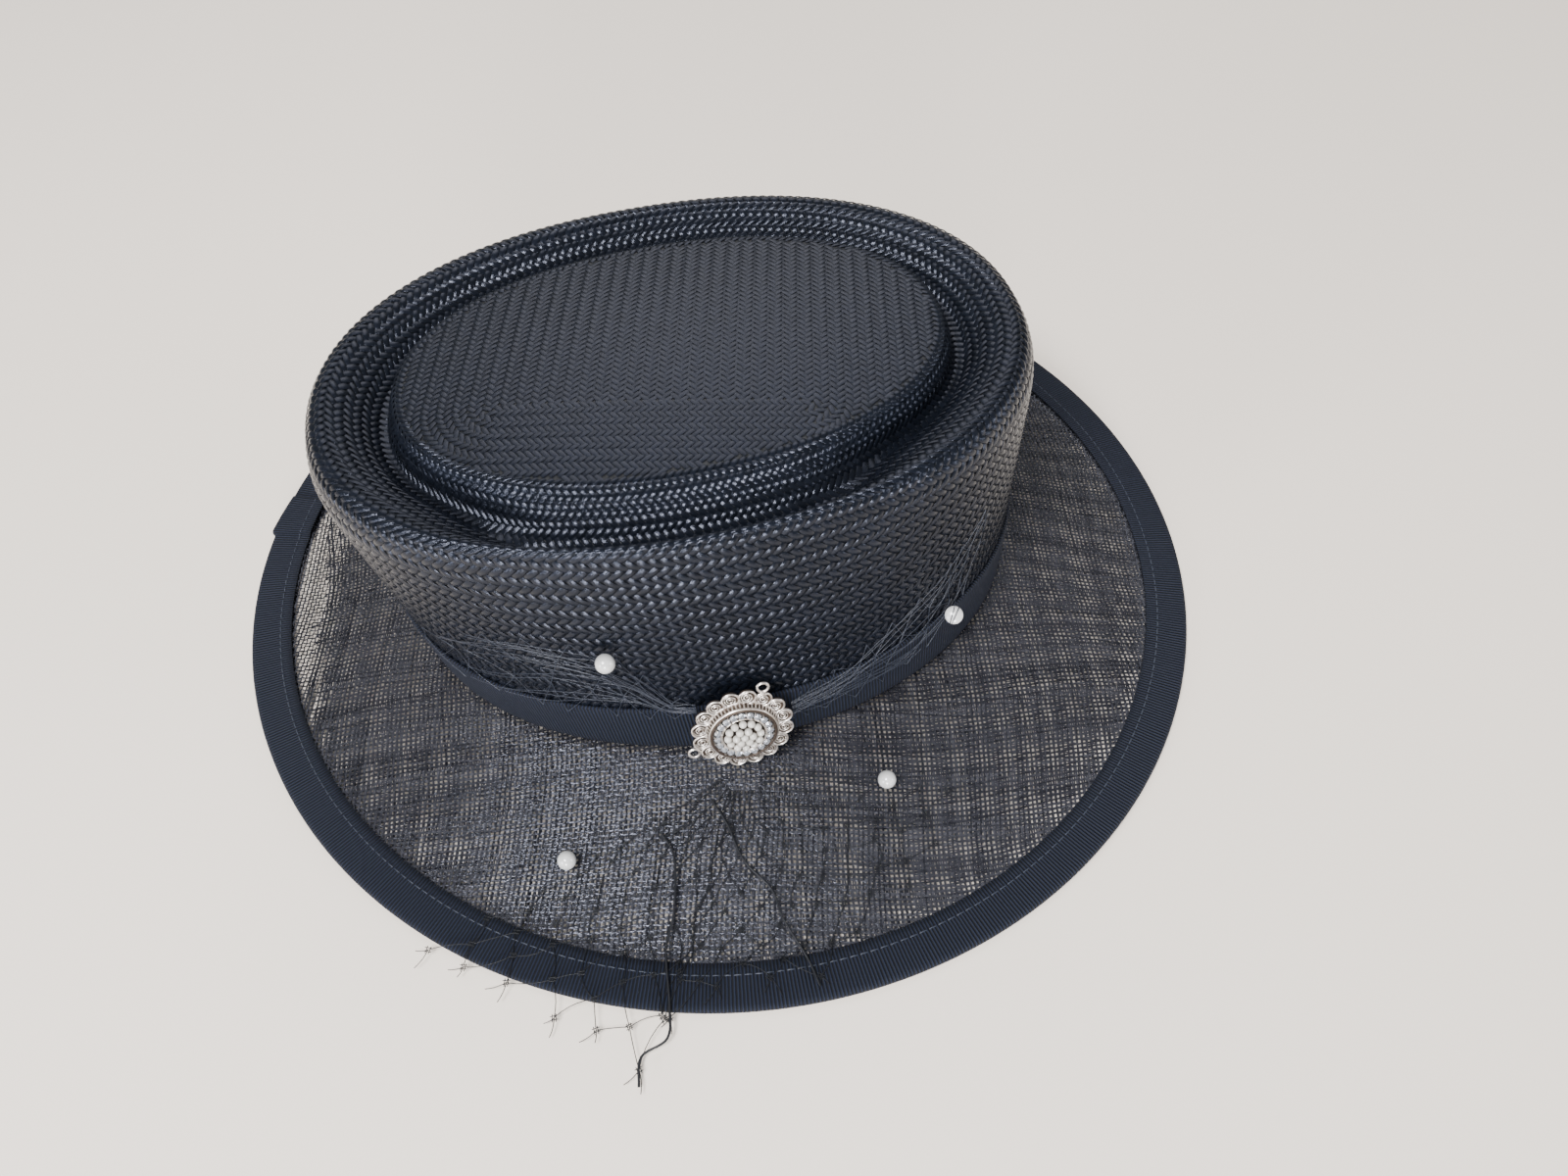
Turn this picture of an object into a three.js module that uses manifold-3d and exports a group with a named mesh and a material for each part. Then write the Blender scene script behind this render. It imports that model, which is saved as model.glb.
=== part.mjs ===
// A woven straw hat with a tip-style crown, a see-through brim bound in ribbon,
// a ribbon band, a coarse net veil and a round jewelled brooch. Millimetres, +Z up.
// The crown's long axis is X, and the brooch and veil are on the -Y side.
import * as THREE from "three";
import Module from "manifold-3d";

const wasm = await Module();
wasm.setup();
const { Manifold, Mesh: SolidMesh } = wasm;

// Brim
const brimHalfLong = 177.4;
const brimHalfShort = 172.2;
const brimTurn = THREE.MathUtils.degToRad(128.2);
const brimThick = 1.2;
const brimEdgeTop = 2.1;
const brimRise = 11.4;
const brimFlat = 16.5;
const brimLedge = 5;
const brimSides = 60;

// Crown: the foot's outline, the widest outline near the lip, and the raised tip
const footTop = brimEdgeTop + brimRise;
const footCentre = { x: -0.8, y: -5.9 };
const footHalf = { x: 106.9, y: 82.8 };
const lipCentre = { x: -6.3, y: -5.3 };
const lipHalf = { x: 114, y: 82.5 };
const lipTurn = THREE.MathUtils.degToRad(2.5);
const lipHeight = 98;
const footSquareness = 2;
const lipSquareness = 2.15;
const crownWall = 2;
const crownSides = 48;
const seatGap = 0.3;

// Ribbon
const bindingWidth = 14.5;
const bindingThick = 0.6;
const bindingLap = { from: 158, to: 164, extra: 0.5 };
const bandHeight = 23;
const bandThick = 1.2;

// Net veil
const netThick = 0.8;
const netStrand = 0.62;
const netRows = 6;
const wingRows = 2;
const wingEase = 0.4;

// Brooch
const broochCentre = new THREE.Vector3(-5.5, -96.1, 32.4);
const broochLean = THREE.MathUtils.degToRad(12.5);
const petalCount = 16;
const petalRing = 13.5;
const petalRadius = 2.95;
const petalThick = 1.3;
const bezelOuter = 10.7;
const bezelInner = 9.8;
const bezelHeight = 3.9;
const skirtOuter = 11.6;
const bezelSides = 24;
const wellFloor = 2.3;
const ringStones = 20;
const ringStoneRadius = 1.15;
const ringStoneCircle = 8.35;
const beadRadius = 1.15;
const pearlRadius = 3;

// The distance from a centre to a rounded oval at a polar angle.
function ovalRadius(half, squareness, angle) {
  const across = Math.abs(Math.cos(angle)) / half.x;
  const along = Math.abs(Math.sin(angle)) / half.y;
  return (across ** squareness + along ** squareness) ** (-1 / squareness);
}

function mix(low, high, share) {
  return low + (high - low) * share;
}

// A point of the crown's outer wall at a height, moved outward by an offset.
function wallPoint(angle, height, offset) {
  const share = THREE.MathUtils.clamp((height - footTop) / (lipHeight - footTop), 0, 1);
  const half = {
    x: mix(footHalf.x, lipHalf.x, share) + offset,
    y: mix(footHalf.y, lipHalf.y, share) + offset,
  };
  const squareness = mix(footSquareness, lipSquareness, share);
  const turn = lipTurn * share;
  const radius = ovalRadius(half, squareness, angle - turn);
  const x = mix(footCentre.x, lipCentre.x, share) + radius * Math.cos(angle);
  const y = mix(footCentre.y, lipCentre.y, share) + radius * Math.sin(angle);
  return new THREE.Vector3(x, y, height);
}

// A point of the brim's edge, moved inward by a distance.
function edgePoint(angle, inward) {
  const half = { x: brimHalfLong - inward, y: brimHalfShort - inward };
  const radius = ovalRadius(half, 2, angle - brimTurn);
  return new THREE.Vector3(radius * Math.cos(angle), radius * Math.sin(angle), 0);
}

// The brim's upper surface, by polar angle and distance in from its edge.
function brimSurface(angle, inward) {
  const inner = wallPoint(angle, footTop, -crownWall);
  const outer = edgePoint(angle, 0);
  const span = Math.hypot(outer.x - inner.x, outer.y - inner.y);
  const point = outer.clone().lerp(inner, inward / span);
  const climb = THREE.MathUtils.clamp((inward - brimFlat) / (span - brimFlat - brimLedge), 0, 1);
  point.z = brimEdgeTop + brimRise * climb ** 1.15;
  return { point, span };
}

function angles(count) {
  return Array.from({ length: count }, (unused, index) => (index / count) * 2 * Math.PI);
}

// One closed body from loops of equal length. The loops join end to end, or close
// on a pole point at each end. Loops run anticlockwise seen from above, and the
// section starts outside and goes up and in.
function bodyFromLoops(loops, poles) {
  const positions = [];
  const faces = [];
  for (const loop of loops) {
    for (const point of loop) {
      positions.push(point.x, point.y, point.z);
    }
  }
  const sides = loops[0].length;
  const rings = poles ? loops.length - 1 : loops.length;
  for (let ring = 0; ring < rings; ring += 1) {
    const here = ring * sides;
    const there = ((ring + 1) % loops.length) * sides;
    for (let side = 0; side < sides; side += 1) {
      const next = (side + 1) % sides;
      faces.push(here + side, here + next, there + next);
      faces.push(here + side, there + next, there + side);
    }
  }
  if (poles) {
    const last = (loops.length - 1) * sides;
    const start = positions.length / 3;
    positions.push(poles.first.x, poles.first.y, poles.first.z);
    positions.push(poles.last.x, poles.last.y, poles.last.z);
    for (let side = 0; side < sides; side += 1) {
      const next = (side + 1) % sides;
      faces.push(start, next, side);
      faces.push(start + 1, last + side, last + next);
    }
  }
  return geometryFrom(positions, faces);
}

function geometryFrom(positions, faces) {
  const geometry = new THREE.BufferGeometry();
  geometry.setAttribute("position", new THREE.Float32BufferAttribute(positions, 3));
  geometry.setIndex(faces);
  geometry.computeVertexNormals();
  return geometry;
}

function part(name, geometry, material) {
  const mesh = new THREE.Mesh(geometry, material);
  mesh.name = name;
  return mesh;
}

// Crown: rows are distances in from the widest outline and heights, from the foot
// up the wall, over the rolled lip, down the gutter and up to the flat tip. On the
// near side the wall leans in a little to the lip, the gutter lies close behind it,
// and a long slope goes up to the tip.
const crownRows = [
  { inset: 0, height: footTop + seatGap, wall: true },
  { inset: 0, height: 36, wall: true },
  { inset: 0, height: 60, nearInset: 0.4, wall: true },
  { inset: 0, height: 82, nearInset: 1.6, wall: true },
  { inset: 0, height: lipHeight, nearInset: 3.6, wall: true },
  { inset: 1, height: 103, nearInset: 4.7, nearHeight: 103.6 },
  { inset: 3, height: 107, nearInset: 6, nearHeight: 107.7 },
  { inset: 6, height: 109, nearInset: 7.2, nearHeight: 108.6 },
  { inset: 9, height: 108.4, nearInset: 8.5, nearHeight: 107 },
  { inset: 13, height: 106.2, nearInset: 9.6, nearHeight: 103 },
  { inset: 17.5, height: 103, nearInset: 11, nearHeight: 99.8 },
  { inset: 21.3, height: 99.8, nearInset: 13, nearHeight: 98.8 },
  { inset: 23.6, height: 98.8, nearInset: 16.5, nearHeight: 101 },
  { inset: 25.2, height: 100.8, nearInset: 20.5, nearHeight: 104.6 },
  { inset: 26.4, height: 105.2, nearInset: 24.5, nearHeight: 107.8 },
  { inset: 28.6, height: 109.6 },
];
// Directions, in degrees, where the gutter starts to move over to the lip, lies by
// it, and is back by the tip.
const nearStart = 205;
const nearFull = 240;
const nearLeave = 290;
const nearEnd = 325;
const tipHeights = [{ share: 0.6, height: 111.8 }];
const tipTop = 112.9;

function nearShare(angle) {
  const degrees = THREE.MathUtils.radToDeg(angle);
  const rise = THREE.MathUtils.smoothstep(degrees, nearStart, nearFull);
  const fall = THREE.MathUtils.smoothstep(degrees, nearLeave, nearEnd);
  return rise - fall;
}

function crownSection(angle) {
  const share = nearShare(angle);
  return crownRows.map((row) => ({
    inset: mix(row.inset, row.nearInset ?? row.inset, share),
    height: mix(row.height, row.nearHeight ?? row.height, share),
    wall: row.wall,
  }));
}

function crownPoint(angle, row) {
  if (row.wall) {
    return wallPoint(angle, row.height, -row.inset);
  }
  const point = wallPoint(angle, lipHeight, -row.inset);
  point.z = row.height;
  return point;
}

function crownLoops(directions, sections) {
  return sections[0].map((first, index) =>
    directions.map((angle, side) => crownPoint(angle, sections[side][index])),
  );
}

function tipLoop(edge, share, height) {
  return edge.map((point) => {
    const x = mix(lipCentre.x, point.x, share);
    const y = mix(lipCentre.y, point.y, share);
    return new THREE.Vector3(x, y, height);
  });
}

// The rows that the plainer inside follows, moved in by the wall's thickness.
const insideRows = [0, 4, 6, 8, 10, 11, 12, 13, 15];

function insideSection(section) {
  return insideRows.map((index) => {
    const row = section[index];
    const before = section[Math.max(index - 1, 0)];
    const after = section[Math.min(index + 1, section.length - 1)];
    const run = after.inset - before.inset;
    const rise = after.height - before.height;
    const length = Math.hypot(run, rise);
    const inset = row.inset + (crownWall * rise) / length;
    const height = index === 0 ? row.height : row.height - (crownWall * run) / length;
    return { inset, height, wall: row.wall };
  });
}

function crown(material) {
  const directions = angles(crownSides);
  const sections = directions.map(crownSection);
  const outside = crownLoops(directions, sections);
  const inside = crownLoops(directions, sections.map(insideSection));
  const outsideEdge = outside[outside.length - 1];
  const insideEdge = inside[inside.length - 1];
  for (const row of tipHeights) {
    outside.push(tipLoop(outsideEdge, row.share, row.height));
    inside.push(tipLoop(insideEdge, row.share, row.height - crownWall));
  }
  const poles = {
    first: new THREE.Vector3(lipCentre.x, lipCentre.y, tipTop - crownWall),
    last: new THREE.Vector3(lipCentre.x, lipCentre.y, tipTop),
  };
  return part("crown", bodyFromLoops([...inside.reverse(), ...outside], poles), material);
}

// Brim: a thin stiff sheet with an oval hole under the crown's wall.
function brim(material) {
  const directions = angles(brimSides);
  const inwards = [1, brimFlat, 0.6, "ledge", "hole"];
  const place = (angle, inward, drop) => {
    const span = brimSurface(angle, 0).span;
    let distance = inward;
    if (inward === "hole") {
      distance = span;
    } else if (inward === "ledge") {
      distance = span - brimLedge;
    } else if (inward < 1) {
      distance = span * inward;
    }
    const point = brimSurface(angle, distance).point;
    point.z -= drop;
    return point;
  };
  const upper = inwards.map((inward) => directions.map((angle) => place(angle, inward, 0)));
  const lower = inwards.map((inward) => directions.map((angle) => place(angle, inward, brimThick)));
  return part("brim", bodyFromLoops([...upper, ...lower.reverse()]), material);
}

// Binding: one ribbon folded over the brim's edge, with its ends lapped.
function brimBinding(material) {
  const high = brimEdgeTop + seatGap + bindingThick;
  const low = 0;
  const section = [
    { inward: 1, height: low },
    { inward: 0, height: low + 0.9 },
    { inward: 0, height: high - 0.9, lap: "side" },
    { inward: 1, height: high, lap: "top" },
    { inward: bindingWidth, height: high, lap: "top" },
    { inward: bindingWidth, height: high - bindingThick },
    { inward: bindingThick, height: high - bindingThick },
    { inward: bindingThick, height: low + bindingThick },
    { inward: bindingWidth, height: low + bindingThick },
    { inward: bindingWidth, height: low },
  ];
  const loops = section.map((corner) =>
    angles(brimSides).map((angle) => {
      const degrees = THREE.MathUtils.radToDeg(angle);
      const lapped = degrees >= bindingLap.from && degrees <= bindingLap.to;
      const extra = lapped ? bindingLap.extra : 0;
      const point = edgePoint(angle, corner.inward);
      point.z = corner.height + (corner.lap === "top" ? extra : 0);
      return point;
    }),
  );
  return part("brim_binding", bodyFromLoops(loops), material);
}

// Band: a ribbon around the foot of the crown.
function hatBand(material) {
  const bottom = footTop + seatGap;
  const top = bottom + bandHeight;
  const section = [
    { offset: seatGap + bandThick, height: bottom },
    { offset: seatGap + bandThick, height: top - 0.5 },
    { offset: seatGap + bandThick / 2, height: top },
    { offset: seatGap, height: top - 0.5 },
    { offset: seatGap, height: bottom },
  ];
  const loops = section.map((corner) =>
    angles(crownSides).map((angle) => wallPoint(angle, corner.height, corner.offset)),
  );
  return part("hat_band", bodyFromLoops(loops), material);
}

// A sheet of net. The grid gives the middle surface at each knot, and each cell
// between four knots has one opening. Strands meet at the knots.
function netGeometry(grid, lift) {
  const positions = [];
  const faces = [];
  const rows = grid.length;
  const columns = grid[0].length;
  const add = (point) => {
    positions.push(point.x, point.y, point.z);
    return positions.length / 3 - 1;
  };
  const knots = grid.map((row) =>
    row.map((point) => {
      const direction = lift(point);
      return {
        upper: add(point.clone().addScaledVector(direction, netThick)),
        lower: add(point),
      };
    }),
  );
  const quad = (a, b, c, d) => faces.push(a, b, c, a, c, d);
  for (let row = 0; row < rows - 1; row += 1) {
    for (let column = 0; column < columns - 1; column += 1) {
      const corners = [
        [row, column],
        [row, column + 1],
        [row + 1, column + 1],
        [row + 1, column],
      ];
      const points = corners.map(([r, c]) => grid[r][c]);
      const centre = new THREE.Vector3();
      for (const point of points) {
        centre.addScaledVector(point, 0.25);
      }
      const holes = points.map((point) => {
        const reach = point.distanceTo(centre);
        const share = Math.min(0.5, (netStrand * 1.5) / reach);
        const inner = point.clone().lerp(centre, share);
        const direction = lift(inner);
        return {
          upper: add(inner.clone().addScaledVector(direction, netThick)),
          lower: add(inner),
        };
      });
      for (let side = 0; side < 4; side += 1) {
        const next = (side + 1) % 4;
        const [r, c] = corners[side];
        const [nr, nc] = corners[next];
        const from = knots[r][c];
        const to = knots[nr][nc];
        quad(from.upper, to.upper, holes[next].upper, holes[side].upper);
        quad(to.lower, from.lower, holes[side].lower, holes[next].lower);
        quad(holes[side].upper, holes[next].upper, holes[next].lower, holes[side].lower);
      }
    }
  }
  const edge = (first, second) => quad(second.upper, first.upper, first.lower, second.lower);
  for (let column = 0; column < columns - 1; column += 1) {
    edge(knots[0][column], knots[0][column + 1]);
    edge(knots[rows - 1][column + 1], knots[rows - 1][column]);
  }
  for (let row = 0; row < rows - 1; row += 1) {
    edge(knots[row + 1][0], knots[row][0]);
    edge(knots[row][columns - 1], knots[row + 1][columns - 1]);
  }
  return geometryFrom(positions, faces);
}

// The veil's outer edge over the near brim, left to right. The left part hangs
// a little past the brim's edge.
const netRim = [
  { x: -112, y: -136 },
  { x: -101, y: -142.5 },
  { x: -88, y: -151.5 },
  { x: -76, y: -163 },
  { x: -64, y: -169.5 },
  { x: -53, y: -184 },
  { x: -43, y: -172 },
  { x: -28, y: -165 },
  { x: -13, y: -166 },
  { x: 3, y: -168 },
  { x: 19, y: -158 },
  { x: 34, y: -147 },
  { x: 47, y: -135 },
  { x: 58, y: -120 },
];
const gatherCentre = { x: -7, y: -99 };
const gatherReach = 9;

// The height of what the veil lies on: the brim's surface, then the binding.
function restHeight(x, y) {
  const angle = Math.atan2(y, x);
  const outer = edgePoint(angle, 0);
  const inward = Math.hypot(outer.x, outer.y) - Math.hypot(x, y);
  const bindingTop = brimEdgeTop + seatGap + bindingThick;
  if (inward < bindingWidth + 3) {
    return bindingTop;
  }
  return Math.max(bindingTop, brimSurface(angle, inward).point.z);
}

function veilFan(material) {
  const grid = [];
  for (let row = 0; row <= netRows; row += 1) {
    const share = (row / netRows) ** 0.85;
    grid.push(
      netRim.map((end) => {
        const span = Math.hypot(end.x - gatherCentre.x, end.y - gatherCentre.y);
        const begin = gatherReach / span;
        const reach = mix(begin, 1, share);
        const x = mix(gatherCentre.x, end.x, reach);
        const y = mix(gatherCentre.y, end.y, reach);
        return new THREE.Vector3(x, y, restHeight(x, y) + seatGap);
      }),
    );
  }
  const up = new THREE.Vector3(0, 0, 1);
  return part("veil_fan", netGeometry(grid.reverse(), () => up), material);
}

// The veil's two gathered wings along the band, from the brooch outward: the polar
// angle about the crown's foot, and the heights of the lower and upper edges.
const leftWing = [
  { angle: 254, lower: 33, upper: 44 },
  { angle: 248, lower: 34, upper: 66 },
  { angle: 242, lower: 35, upper: 75 },
  { angle: 235, lower: 36, upper: 76 },
  { angle: 228, lower: 36, upper: 76 },
  { angle: 220, lower: 35, upper: 71 },
  { angle: 211, lower: 34, upper: 61 },
  { angle: 202, lower: 33, upper: 48 },
];
const rightWing = [
  { angle: 283, lower: 22, upper: 37 },
  { angle: 291, lower: 22, upper: 42 },
  { angle: 299, lower: 23, upper: 47 },
  { angle: 307, lower: 25, upper: 52 },
  { angle: 315.6, lower: 31, upper: 58 },
  { angle: 321, lower: 40, upper: 66 },
  { angle: 328, lower: 55, upper: 76 },
];

// How far a wing stands off the crown's wall, over the band and above it.
function wingOffset(height) {
  const overBand = seatGap + bandThick + seatGap + wingEase;
  const past = Math.max(0, height - footTop - bandHeight - 3);
  return Math.max(wingEase + seatGap, overBand - past * 0.15);
}

function wing(name, table, material) {
  const grid = [];
  for (let row = 0; row <= wingRows; row += 1) {
    grid.push(
      table.map((station) => {
        const height = mix(station.lower, station.upper, row / wingRows);
        return wallPoint(THREE.MathUtils.degToRad(station.angle), height, wingOffset(height));
      }),
    );
  }
  const outward = (point) => {
    const flat = new THREE.Vector3(point.x - footCentre.x, point.y - footCentre.y, 0);
    flat.x /= footHalf.x ** 2;
    flat.y /= footHalf.y ** 2;
    return flat.normalize();
  };
  const ordered = table[0].angle < table[1].angle ? grid : grid.map((row) => row.reverse());
  return part(name, netGeometry(ordered, outward), material);
}

// Where the veil's gathers are sewn to the band: a pad whose front slopes with the
// brooch's back.
const padSides = 12;
const padHeight = 28.5;
const padBack = { x: 8, z: 7.5 };
const padFront = { x: 7.5, z: 5.5 };

function padLoop(half, depthAt) {
  return angles(padSides).map((angle) => {
    const fold = 1 + 0.08 * Math.cos(angle * 6);
    const x = broochCentre.x + half.x * fold * Math.cos(angle);
    const z = padHeight + half.z * fold * Math.sin(angle);
    return new THREE.Vector3(x, depthAt(z), z);
  });
}

function veilGather(material) {
  const back = -90.2 - seatGap;
  const frontAt = (z) => {
    const lean = (z - broochCentre.z) * Math.tan(broochLean);
    return broochCentre.y + lean + seatGap / Math.cos(broochLean);
  };
  const loops = [padLoop(padBack, () => back), padLoop(padFront, frontAt)];
  const poles = {
    first: new THREE.Vector3(broochCentre.x, back, padHeight),
    last: new THREE.Vector3(broochCentre.x, frontAt(padHeight), padHeight),
  };
  return part("veil_gather", bodyFromLoops(loops, poles), material);
}

// The brooch is made lying flat, face up, then leant back against the band.
function placeOnBrooch(geometry) {
  geometry.rotateX(Math.PI / 2 - broochLean);
  geometry.translate(broochCentre.x, broochCentre.y, broochCentre.z);
  return geometry;
}

function solidToGeometry(solid) {
  const mesh = solid.getMesh();
  return geometryFrom(Array.from(mesh.vertProperties), Array.from(mesh.triVerts));
}

function geometryToSolid(geometry) {
  const mesh = new SolidMesh({
    numProp: 3,
    vertProperties: new Float32Array(geometry.getAttribute("position").array),
    triVerts: new Uint32Array(geometry.getIndex().array),
  });
  mesh.merge();
  return new Manifold(mesh);
}

function disc(radius, thick, sides, x, y, z) {
  return Manifold.cylinder(thick, radius, radius, sides).translate([x, y, z]);
}

function domedPetal(angle) {
  const x = petalRing * Math.cos(angle);
  const y = petalRing * Math.sin(angle);
  const turn = THREE.MathUtils.radToDeg(angle);
  const rim = Manifold.cylinder(petalThick, petalRadius, petalRadius - 0.35, 9);
  const boss = Manifold.cylinder(0.5, 1.3, 0.7, 5).translate([0, 0, petalThick - 0.1]);
  return rim.add(boss).rotate([0, 0, turn]).translate([x, y, 0]);
}

function loopRing(angle) {
  const reach = petalRing + petalRadius + 1.1;
  const x = reach * Math.cos(angle);
  const y = reach * Math.sin(angle);
  const outer = disc(2, 1, 10, x, y, 0.1);
  return outer.subtract(disc(1.1, 3, 8, x, y, -1));
}

function broochSetting(material) {
  let solid = disc(petalRing, petalThick - 0.3, 16, 0, 0, 0);
  for (const angle of angles(petalCount)) {
    solid = solid.add(domedPetal(angle));
  }
  const skirt = Manifold.cylinder(bezelHeight - 1, skirtOuter, bezelOuter, bezelSides);
  const wall = disc(bezelOuter, bezelHeight, bezelSides, 0, 0, 0);
  const well = disc(bezelInner, bezelHeight, bezelSides, 0, 0, wellFloor);
  solid = solid.add(skirt).add(wall).subtract(well);
  for (const degrees of [64, 204]) {
    solid = solid.add(loopRing(THREE.MathUtils.degToRad(degrees)));
  }
  return part("brooch_setting", placeOnBrooch(solidToGeometry(solid)), material);
}

// A round stone: a flat table, eight facets round it and a shallow point below.
function stoneGeometry(radius, centre) {
  const sides = 8;
  const ring = (size, height) =>
    angles(sides).map((angle) => {
      const x = centre.x + size * Math.cos(angle);
      const y = centre.y + size * Math.sin(angle);
      return new THREE.Vector3(x, y, centre.z + height);
    });
  const loops = [ring(radius, radius * 0.62), ring(radius * 0.56, radius * 0.98)];
  const poles = {
    first: centre.clone(),
    last: new THREE.Vector3(centre.x, centre.y, centre.z + radius * 0.98),
  };
  return bodyFromLoops(loops, poles);
}

function beadGeometry(radius, sides, stacks) {
  const geometry = new THREE.SphereGeometry(radius, sides, stacks);
  geometry.rotateX(Math.PI / 2);
  const solid = geometryToSolid(geometry);
  return solidToGeometry(solid);
}

function broochStones(stoneMaterial) {
  return angles(ringStones).map((angle, index) => {
    const x = ringStoneCircle * Math.cos(angle);
    const y = ringStoneCircle * Math.sin(angle);
    const centre = new THREE.Vector3(x, y, wellFloor + seatGap);
    const geometry = placeOnBrooch(stoneGeometry(ringStoneRadius, centre));
    return part(`ring_stone_${index + 1}`, geometry, stoneMaterial);
  });
}

const beadRings = [
  { count: 1, circle: 0, height: 0 },
  { count: 6, circle: 2.62, height: 0 },
  { count: 12, circle: 5.2, height: 0 },
];

function broochBeads(material) {
  const beads = [];
  for (const ring of beadRings) {
    for (const angle of angles(ring.count)) {
      const geometry = beadGeometry(beadRadius, 10, 4);
      const x = ring.circle * Math.cos(angle);
      const y = ring.circle * Math.sin(angle);
      geometry.translate(x, y, wellFloor + beadRadius + seatGap + ring.height);
      beads.push(part(`centre_bead_${beads.length + 1}`, placeOnBrooch(geometry), material));
    }
  }
  return beads;
}

// Veil pearls: two on the wings against the crown, two on the fan over the brim.
const wingPearls = [
  { name: "veil_pearl_1", angle: 245.6, height: 70 },
  { name: "veil_pearl_4", angle: 315.6, height: 42 },
];
const fanPearls = [
  { name: "veil_pearl_2", x: 37.6, y: -114 },
  { name: "veil_pearl_3", x: -66.8, y: -118.3 },
];

function pearls(material) {
  const overNet = netThick + seatGap + pearlRadius;
  const centres = wingPearls.map(({ name, angle, height }) => {
    const offset = wingOffset(height) + overNet;
    return { name, centre: wallPoint(THREE.MathUtils.degToRad(angle), height, offset) };
  });
  for (const { name, x, y } of fanPearls) {
    const height = restHeight(x, y) + seatGap + overNet;
    centres.push({ name, centre: new THREE.Vector3(x, y, height) });
  }
  return centres.map(({ name, centre }) => {
    const geometry = beadGeometry(pearlRadius, 12, 6);
    geometry.translate(centre.x, centre.y, centre.z);
    return part(name, geometry, material);
  });
}

const straw = new THREE.MeshStandardMaterial({ color: 0x2f343d, roughness: 0.5, metalness: 0 });
const brimWeave = new THREE.MeshStandardMaterial({ color: 0x3f3c3a, roughness: 0.7, metalness: 0 });
const ribbon = new THREE.MeshStandardMaterial({ color: 0x1c2430, roughness: 0.8, metalness: 0 });
const net = new THREE.MeshStandardMaterial({ color: 0x14161b, roughness: 0.7, metalness: 0 });
const silver = new THREE.MeshStandardMaterial({ color: 0xc9c1b8, roughness: 0.3, metalness: 1 });
const clear = new THREE.MeshStandardMaterial({ color: 0xe8ecf0, roughness: 0.05, metalness: 0 });
const pearl = new THREE.MeshStandardMaterial({ color: 0xe8e6e2, roughness: 0.25, metalness: 0 });

const hat = new THREE.Group();
hat.name = "veiled_hat";
hat.add(crown(straw));
hat.add(brim(brimWeave));
hat.add(brimBinding(ribbon));
hat.add(hatBand(ribbon));
hat.add(veilFan(net));
hat.add(wing("veil_left_wing", leftWing, net));
hat.add(wing("veil_right_wing", rightWing, net));
hat.add(veilGather(net));
hat.add(broochSetting(silver));
hat.add(...broochStones(clear));
hat.add(...broochBeads(pearl));
hat.add(...pearls(pearl));

// Centre the whole box on the origin, with its lowest point on the floor.
const box = new THREE.Box3().setFromObject(hat);
const middle = box.getCenter(new THREE.Vector3());
for (const mesh of hat.children) {
  mesh.geometry.translate(-middle.x, -middle.y, -box.min.z);
}

export default hat;
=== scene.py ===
import math
import bpy
import numpy as np
from mathutils import Matrix, Vector


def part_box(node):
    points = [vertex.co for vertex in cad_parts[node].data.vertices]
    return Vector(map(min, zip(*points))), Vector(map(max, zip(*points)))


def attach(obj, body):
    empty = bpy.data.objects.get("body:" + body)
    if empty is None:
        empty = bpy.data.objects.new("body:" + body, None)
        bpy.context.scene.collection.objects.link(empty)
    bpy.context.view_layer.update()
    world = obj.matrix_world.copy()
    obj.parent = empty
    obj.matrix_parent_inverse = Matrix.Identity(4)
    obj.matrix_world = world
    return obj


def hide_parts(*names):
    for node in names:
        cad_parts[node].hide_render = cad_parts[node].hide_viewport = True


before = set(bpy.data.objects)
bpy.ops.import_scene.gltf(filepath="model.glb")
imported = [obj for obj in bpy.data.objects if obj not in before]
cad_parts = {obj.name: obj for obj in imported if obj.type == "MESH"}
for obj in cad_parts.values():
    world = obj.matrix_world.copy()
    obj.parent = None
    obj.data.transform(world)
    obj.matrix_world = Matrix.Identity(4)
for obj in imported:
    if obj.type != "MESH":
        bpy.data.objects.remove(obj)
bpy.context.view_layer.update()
bpy.ops.object.select_all(action="DESELECT")

# Camera: a phone held at about 350 mm over the floor, looking down at the hat
# from its brooch side. The tilt, roll and lens come from the floorboard seams.
MM = 0.001
CAMERA_HEIGHT = 350 * MM
CAMERA_PITCH = math.radians(52.32)
CAMERA_ROLL = math.radians(2.68)
CAMERA_TURN = math.radians(9.5)
CAMERA_FOCAL_PIXELS = 1194
PHOTO_WIDTH_PIXELS = 1600
SENSOR_WIDTH = 36

low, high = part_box("brim_binding")
BRIM_CENTRE = Vector(((low.x + high.x) / 2, (low.y + high.y) / 2, 0))
CAMERA_ASIDE = -22.1 * MM
CAMERA_BACK = -287.1 * MM
camera_place = BRIM_CENTRE + Vector((CAMERA_ASIDE, CAMERA_BACK, CAMERA_HEIGHT))

ahead = Vector((math.sin(CAMERA_TURN), math.cos(CAMERA_TURN), 0))
right = Vector((math.cos(CAMERA_TURN), -math.sin(CAMERA_TURN), 0))
forward = ahead * math.cos(CAMERA_PITCH) - Vector((0, 0, math.sin(CAMERA_PITCH)))
down = -ahead * math.sin(CAMERA_PITCH) - Vector((0, 0, math.cos(CAMERA_PITCH)))
camera_right = right * math.cos(CAMERA_ROLL) + down * math.sin(CAMERA_ROLL)
camera_down = down * math.cos(CAMERA_ROLL) - right * math.sin(CAMERA_ROLL)

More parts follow.
